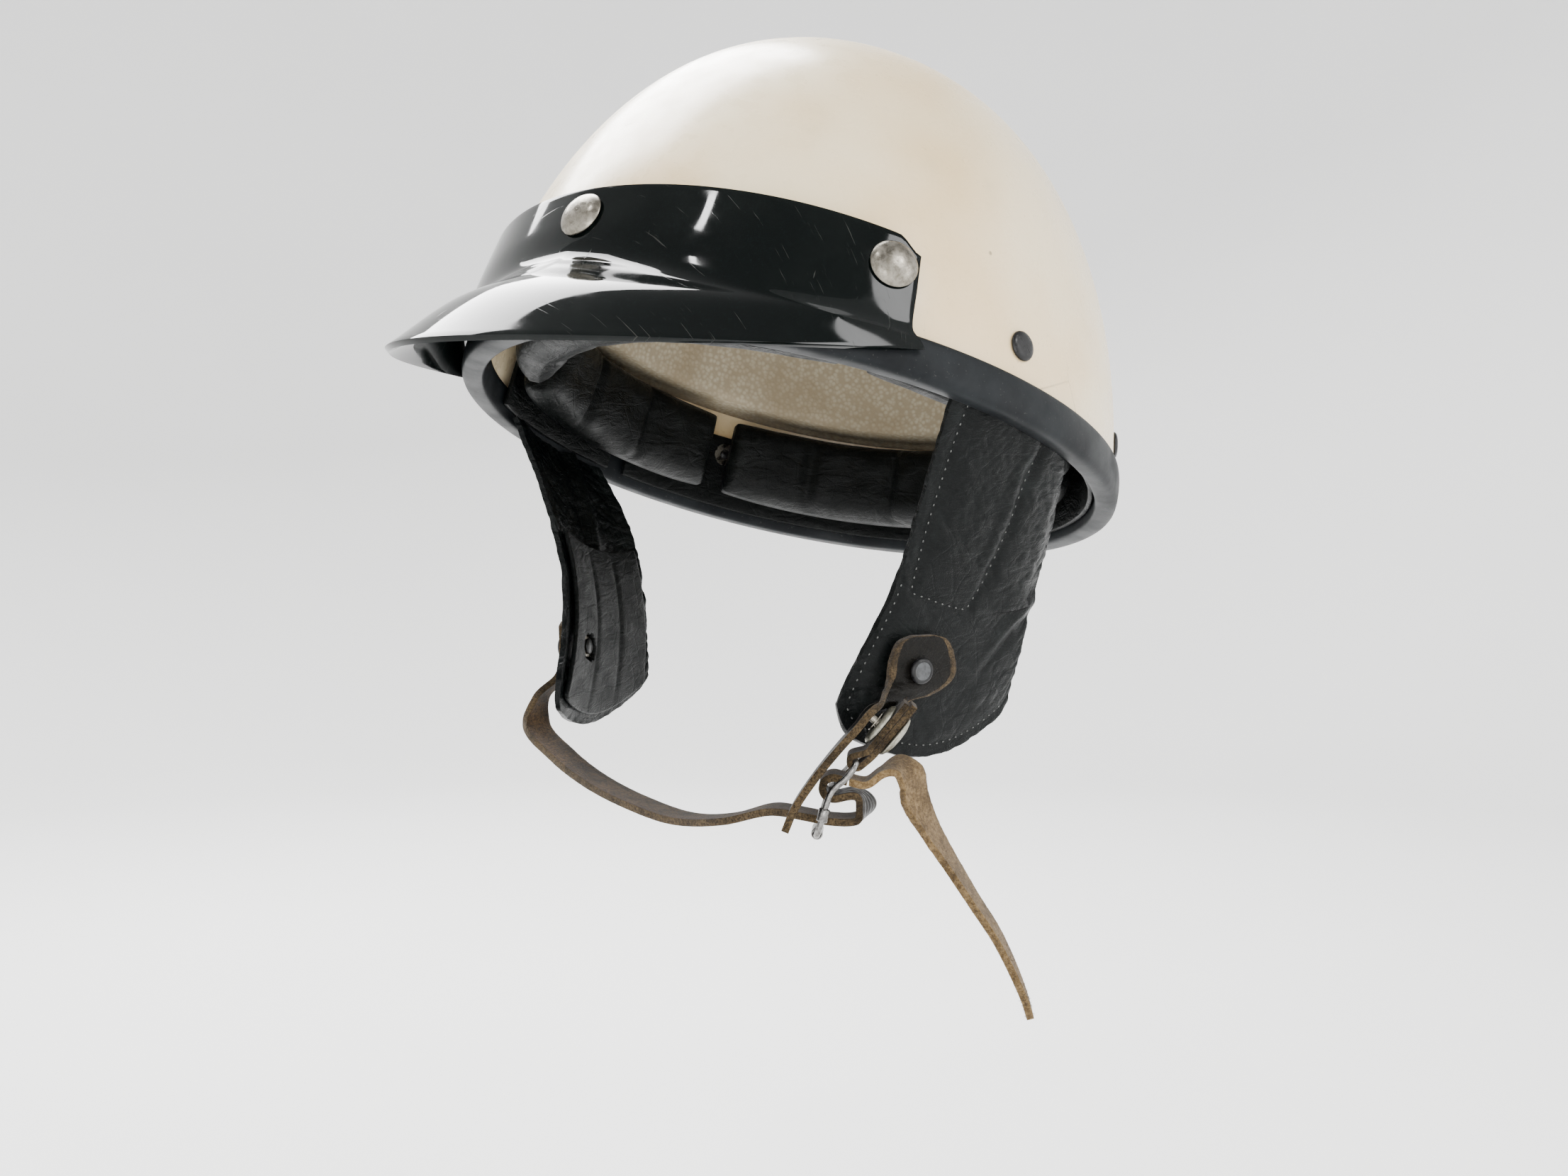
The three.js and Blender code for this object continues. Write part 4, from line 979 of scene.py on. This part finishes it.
top_bar = by_buckle(-18.5, fold_forward, -29.2)
fold_radius = fold_thickness / 2
fold_round = [top_bar + stud_out * fold_radius * math.cos(t) - strap_run * fold_radius * math.sin(t)
              for t in (math.pi * i / 6 for i in range(7))]
to_bar = forward * ((top_bar - strap_middle).dot(forward))
fold_path = ([fold_point(h, 1.16) + to_bar for h in (12.5, 8, 3, -2, -6.5, -9.5)] + fold_round
             + [fold_point(h, -1.16) + to_bar for h in (-9.5, -6.5, -2, 3, 8, 11.4)])
fold_stations = [(point, rearward, strap_width) for point in fold_path]
fold_piece = flat_strap("folded_buckle_strap", fold_stations, fold_layer, 150, "chin_strap", "suede",
                        brown_suede, cut_edge)
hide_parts("buckle_strap")
fold_roots = []
for _ in range(1500):
    high = random.uniform(-9, 12.5)
    across = random.choice((-1, 1)) if random.random() < 0.75 else random.uniform(-1, 1)
    layer = random.uniform(-2.2, 2.2) if abs(across) == 1 else 2.2
    out = forward * across if abs(across) == 1 else stud_out
    root = fold_point(high, layer) + to_bar + forward * across * strap_width / 2
    fold_roots.append((root, out))
hairs("buckle_strap_fibres", "chin_strap", "suede", brown_suede, fold_roots, 1.2, 0.9, 0.075)

# ---------- wire buckle ----------
def tube(name, path, radius, body, slot, material, closed=False):
    """A round wire along a path of points."""
    bm = bmesh.new()
    count, sides = len(path), 16
    ring_before, first_ring = None, None
    normal = None
    for i, point in enumerate(path):
        after = path[(i + 1) % count] if closed else path[min(i + 1, count - 1)]
        before = path[i - 1] if closed else path[max(i - 1, 0)]
        tangent = (after - before).normalized()
        if normal is None:
            normal = tangent.orthogonal().normalized()
        normal = (normal - tangent * normal.dot(tangent)).normalized()
        binormal = tangent.cross(normal)
        ring = []
        for k in range(sides):
            turn = 2 * math.pi * k / sides
            spoke = normal * radius * math.cos(turn) + binormal * radius * math.sin(turn)
            ring.append(bm.verts.new((point + spoke) * mm))
        edges = [bm.edges.new((ring[k - 1], ring[k])) for k in range(sides)]
        if ring_before:
            bmesh.ops.bridge_loops(bm, edges=ring_before + edges)
        else:
            first_ring = edges
        ring_before = edges
    if closed:
        bmesh.ops.bridge_loops(bm, edges=ring_before + first_ring)
    else:
        bmesh.ops.holes_fill(bm, edges=bm.edges, sides=sides)
    bmesh.ops.recalc_face_normals(bm, faces=bm.faces)
    return new_piece(name, bm, body, slot, material)


buckle_middle, buckle_half = 20.5, 10.25
leg_places = [(-19.4, -31.2), (-22, -34.5), (-26.4, -38.6), (-28.6, -43.5), (-30.8, -51)]
bar_insets = (1.6, 3, 17.5, 18.9)


def bar_points(a, u):
    return [by_buckle(a, buckle_middle - buckle_half + inset, u) for inset in bar_insets]


def leg_points(offset):
    return [by_buckle(a, buckle_middle + offset, u) for a, u in leg_places]


frame_path = (bar_points(-18.5, -29.2) + leg_points(buckle_half) + bar_points(-31.8, -54)[::-1]
              + leg_points(-buckle_half)[::-1])
loop_path = frame_path[-2:] + frame_path + frame_path[:3]
span_count = len(loop_path) - 1
closed_path = []
for i in range(2, 2 + len(frame_path)):
    closed_path += [catmull(loop_path, (i + k / 8) / span_count) for k in range(8)]
wire = tube("bent_wire_frame", closed_path, wire_radius, "buckle", "nickel", wire_nickel, closed=True)
middle_reach = (-buckle_half, -9.6, -5, 0, 5, 9.6, buckle_half)
middle_bar = [by_buckle(-26.4, buckle_middle + f, -38.6) for f in middle_reach]
tube("middle_bar_wire", middle_bar, wire_radius * 0.97, "buckle", "nickel", wire_nickel)
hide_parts("buckle_frame")

sleeve_top, sleeve_end = by_buckle(-29, 30.75, -44.8), by_buckle(-30.25, 30.75, -49.1)
sleeve_long = (sleeve_top - sleeve_end).length
sleeve_profile = [(1.35, 0.05), (1.6, 0.0), (1.85, 0.12), (1.93, 0.5), (1.9, sleeve_long / 2),
                  (1.93, sleeve_long - 0.5), (1.85, sleeve_long - 0.12), (1.6, sleeve_long),
                  (1.35, sleeve_long - 0.05), (1.35, 0.05)]
crimp = spun(sleeve_profile, 28)
for vert in crimp.verts:  # hammered a little flat, with a seam down the back
    turn = math.atan2(vert.co.y, vert.co.x)
    squeeze = 1 + 0.05 * math.cos(2 * turn) - 0.06 * math.exp(-((turn - 2.2) / 0.16) ** 2)
    vert.co.x *= squeeze
    vert.co.y *= squeeze
sleeve = new_piece("crimped_sleeve", crimp, "buckle", "nickel", wire_nickel,
                   place=seat(sleeve_end, (sleeve_top - sleeve_end).normalized()))
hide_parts("buckle_sleeve")

roller_half = buckle_half - 3.4
roller_end = [(1.45, 0.0), (1.75, 0.02), (1.95, -0.2), (2.0, -0.6)]
roller_profile = ([(r, -roller_half - h) for r, h in roller_end]
                  + [(r, roller_half + h) for r, h in roller_end[::-1]])
rolled = spun(roller_profile + roller_profile[:1], 28)
for vert in rolled.verts:  # rolled from sheet, so a seam runs along it
    turn = math.atan2(vert.co.y, vert.co.x)
    dip = 1 - 0.09 * math.exp(-((turn - 0.9) / 0.13) ** 2)
    if vert.co.xy.length > 1.6 * mm:
        vert.co.x *= dip
        vert.co.y *= dip
roller = new_piece("rolled_roller", rolled, "roller", "nickel", wire_nickel,
                   place=seat(by_buckle(-31.8, buckle_middle, -54), forward))
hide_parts("buckle_roller")

# ---------- chin strap and its tail ----------
def far_tongue(lift, high, back):
    return mirrored(on_tongue(lift, high, back))


def by_far(x, y, z):
    return mirrored(rivet_worn) + Vector((x, y, z))


def by_near(x, y, z):
    return rivet_worn + Vector((x, y, z))


def under_chin(x, y, z):
    return Vector((x, rivet_worn.y + y, rivet_worn.z + z))


def round_bar(a, u, radius, degrees):
    """A place on a strap's turn round a bar or round its own loop."""
    turn = math.radians(degrees)
    return by_buckle(a + radius * math.cos(turn), strap_forward, u + radius * math.sin(turn))


strap_forward = 20.0
loop_radius = 4.4
bar_turn = wire_radius + turn_gap + 0.3 + strap_thickness / 2
far_across = mirrored(tongue_across)
level = Vector((0, 1, 0))
chin_stations = [
    (far_tongue(strap_lift, 11, 0), far_across, 9),
    (far_tongue(strap_lift, 9, 0), far_across, 15),
    (far_tongue(strap_lift, 0, 0), far_across, 17),
    (far_tongue(strap_lift + 1.1, -10, -4), far_across, 15),
    (by_far(-4.6, -17.5, -19), far_across, strap_width),
    (by_far(-1.6, -23.5, -30), level, strap_width),
    (by_far(14.5, -26, -40), level, strap_width),
    (by_far(34.5, -29.5, -47.5), level, strap_width),
    (under_chin(-20, -33.5, -53), level, strap_width),
    (under_chin(6, -36.5, -56), level, strap_width),
    (by_near(-49.5, -39.5, -53), Vector((-0.25, 0.97, 0)), strap_width),
    (by_near(-31.5, -37.5, -48), Vector((-0.45, 0.9, 0)), strap_width),
    (by_buckle(-35, strap_forward, -48.6), rearward, strap_width),
    (by_buckle(-27, strap_forward, -50), rearward, strap_width),
]
for degrees in (-90, -45, 0, 45, 90):
    skew = aside * 0.4 * math.cos(math.radians(degrees)) ** 2
    chin_stations.append((round_bar(-19.5, -45.6, loop_radius, degrees), rearward + skew, strap_width))
for degrees in (270, 225, 180, 135, 90):
    chin_stations.append((round_bar(-26.4, -38.6, bar_turn, degrees), rearward, strap_width))
chin_stations += [(by_buckle(-21.5, strap_forward, -36.4), rearward, strap_width)]
chin = flat_strap("chin_strap_leather", chin_stations, strap_thickness - 0.2, 420, "chin_strap", "suede",
                  ribbed_leather, cut_edge, brown_suede, back=2)
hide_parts("chin_strap")

tail_places = (
    (-20.9, -36.5, 13, 1, 0, 0), (-15, -37.4, 13, 1, 0, 0), (-10, -34, 13, 1, 0, 0),
    (-4.5, -31.6, 13, 0.3, 0.95, 18), (0, -35, 13, 0.85, 0.53, 38), (1.5, -43, 13, 0.95, 0.31, 38),
    (7, -54, 12, 0.88, 0.48, 24), (15, -67, 12, 0.85, 0.53, 14), (22.5, -79, 11, 0.84, 0.54, 11),
    (29, -89, 11, 0.87, 0.49, 9), (34.5, -100, 10, 0.91, 0.41, 7), (39, -111, 8, 0.95, 0.31, 4),
    (41, -118, 4, 0.96, 0.28, 2))
tail_stations = []
for a, u, wide, lean_out, lean_up, degrees in tail_places:  # it twists as it drops
    twist = math.radians(degrees)
    across = rearward * math.cos(twist) + (aside * lean_out + up * lean_up) * math.sin(twist)
    tail_stations.append((by_buckle(a, strap_forward, u), across, wide))
tail = flat_strap("strap_tail_suede", tail_stations, strap_thickness - 0.3, 220, "strap_tail", "suede",
                  tan_suede, tan_suede, rough=0.3)
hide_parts("strap_tail")
tail_middle = [place for place, across, wide in tail_stations]
tail_roots = []
for _ in range(2600):
    v = random.uniform(0.36, 0.99)
    side = random.choice((-1, 1)) if random.random() < 0.55 else random.uniform(-1, 1)
    middle, across, wide = strap_at(tail_stations, v)
    face = across.cross(tangent_at(tail_middle, v)).normalized()
    on_edge = abs(side) == 1
    layer = random.uniform(-1, 1) if on_edge else random.choice((-1, 1)) * 1.05
    root = middle + across * side * wide / 2 + face * layer
    tail_roots.append((root, across * side if on_edge else face * math.copysign(1, layer)))
hairs("tail_fibres", "strap_tail", "suede", tan_suede, tail_roots, 1.5, 1.0, 0.075)

# ---------- finishes of the small metal parts that stay as they are ----------
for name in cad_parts:
    node = bpy.data.objects.get(name)
    if node is None or node.hide_render:
        continue
    for slot in node.material_slots:
        slot.material = nickel

# ---------- floor, lights and camera ----------
studio = Finish("pale_studio", (0.82, 0.82, 0.815), 0.8, Emission_Color=(1, 1, 1, 1), Emission_Strength=0.42)
tone = studio.ramp(studio.noise(3, 2), 0.3, 0.7)
studio.wear(studio.blend(tone, (0.81, 0.81, 0.805), (0.83, 0.83, 0.825)))
bm = bmesh.new()  # a disc that curves up behind the part, like a paper sweep
bmesh.ops.create_circle(bm, cap_ends=False, segments=96, radius=0.02)
rim = bm.edges[:]
for reach in [0.1, 0.3, 0.7, 1.2] + [1.5 + 0.12 * k for k in range(14)]:
    made = bmesh.ops.extrude_edge_only(bm, edges=rim)["geom"]
    rim = [g for g in made if isinstance(g, bmesh.types.BMEdge)]
    for vert in {v for edge in rim for v in edge.verts}:
        vert.co = Vector((vert.co.x, vert.co.y, 0)).normalized() * reach
        vert.co.z = 1.3 * max(0.0, reach - 1.5) ** 2
hole_edges = [e for e in bm.edges if e.is_boundary and e.verts[0].co.length < 0.03]
bmesh.ops.holes_fill(bm, edges=hole_edges, sides=96)
bmesh.ops.translate(bm, vec=(0, 0, -0.36), verts=bm.verts)
bmesh.ops.recalc_face_normals(bm, faces=bm.faces)
floor = smooth_object("studio_floor", bm, studio.material)

camera_place = Vector((0.4020, -0.5415, -0.0207))


def softbox(name, toward, distance, width, height, power, aim=Vector((0, 0, 0.02))):
    data = bpy.data.lights.new(name, "AREA")
    data.shape = "RECTANGLE"
    data.size = width
    data.size_y = height
    data.energy = power
    light = bpy.data.objects.new(name, data)
    light.location = aim + toward.normalized() * distance
    light.rotation_euler = (aim - light.location).to_track_quat("-Z", "Y").to_euler()
    bpy.context.scene.collection.objects.link(light)


def bearing(azimuth, elevation):
    a, e = math.radians(azimuth), math.radians(elevation)
    return Vector((math.sin(a) * math.cos(e), -math.cos(a) * math.cos(e), math.sin(e)))


def glint(u, v):
    """Where a light stands to show in the gloss of the peak at (u, v)."""
    point = worn(peak_place(u, v)) * mm
    along = worn(peak_place(u + 0.01, v) - peak_place(u - 0.01, v))
    down = worn(peak_place(u, v + 0.01) - peak_place(u, v - 0.01))
    out = down.cross(along).normalized()
    sight = (point - camera_place).normalized()
    if out.dot(sight) > 0:
        out = -out
    return point, sight - out * 2 * sight.dot(out)


softbox("key_softbox", bearing(-112, 50), 1.35, 0.95, 0.85, 66)
softbox("front_softbox", bearing(36, -1), 1.35, 0.9, 0.5, 7)
softbox("fill_softbox", bearing(104, 8), 1.4, 0.5, 0.9, 5)
point, toward = glint(0.70, 0.17)
softbox("strip_light", toward, 1.3, 0.05, 0.16, 3, aim=point)
point, toward = glint(0.975, 0.30)
softbox("corner_light", toward, 1.1, 0.24, 0.3, 4, aim=point)

world = bpy.data.worlds.new("studio")
world.use_nodes = True
background = world.node_tree.nodes["Background"]
background.inputs["Color"].default_value = (1, 1, 1, 1)
background.inputs["Strength"].default_value = 0.62
bpy.context.scene.world = world

camera_data = bpy.data.cameras.new("camera")
camera_data.lens = 39.06
camera_data.sensor_width = 36.0
camera = bpy.data.objects.new("camera", camera_data)
camera.location = camera_place
turn, dip = math.radians(36.84), math.radians(2.53)
heading = Vector((-math.sin(turn) * math.cos(dip), math.cos(turn) * math.cos(dip), -math.sin(dip)))
camera.rotation_euler = heading.to_track_quat("-Z", "Y").to_euler()
bpy.context.scene.collection.objects.link(camera)
bpy.context.scene.camera = camera
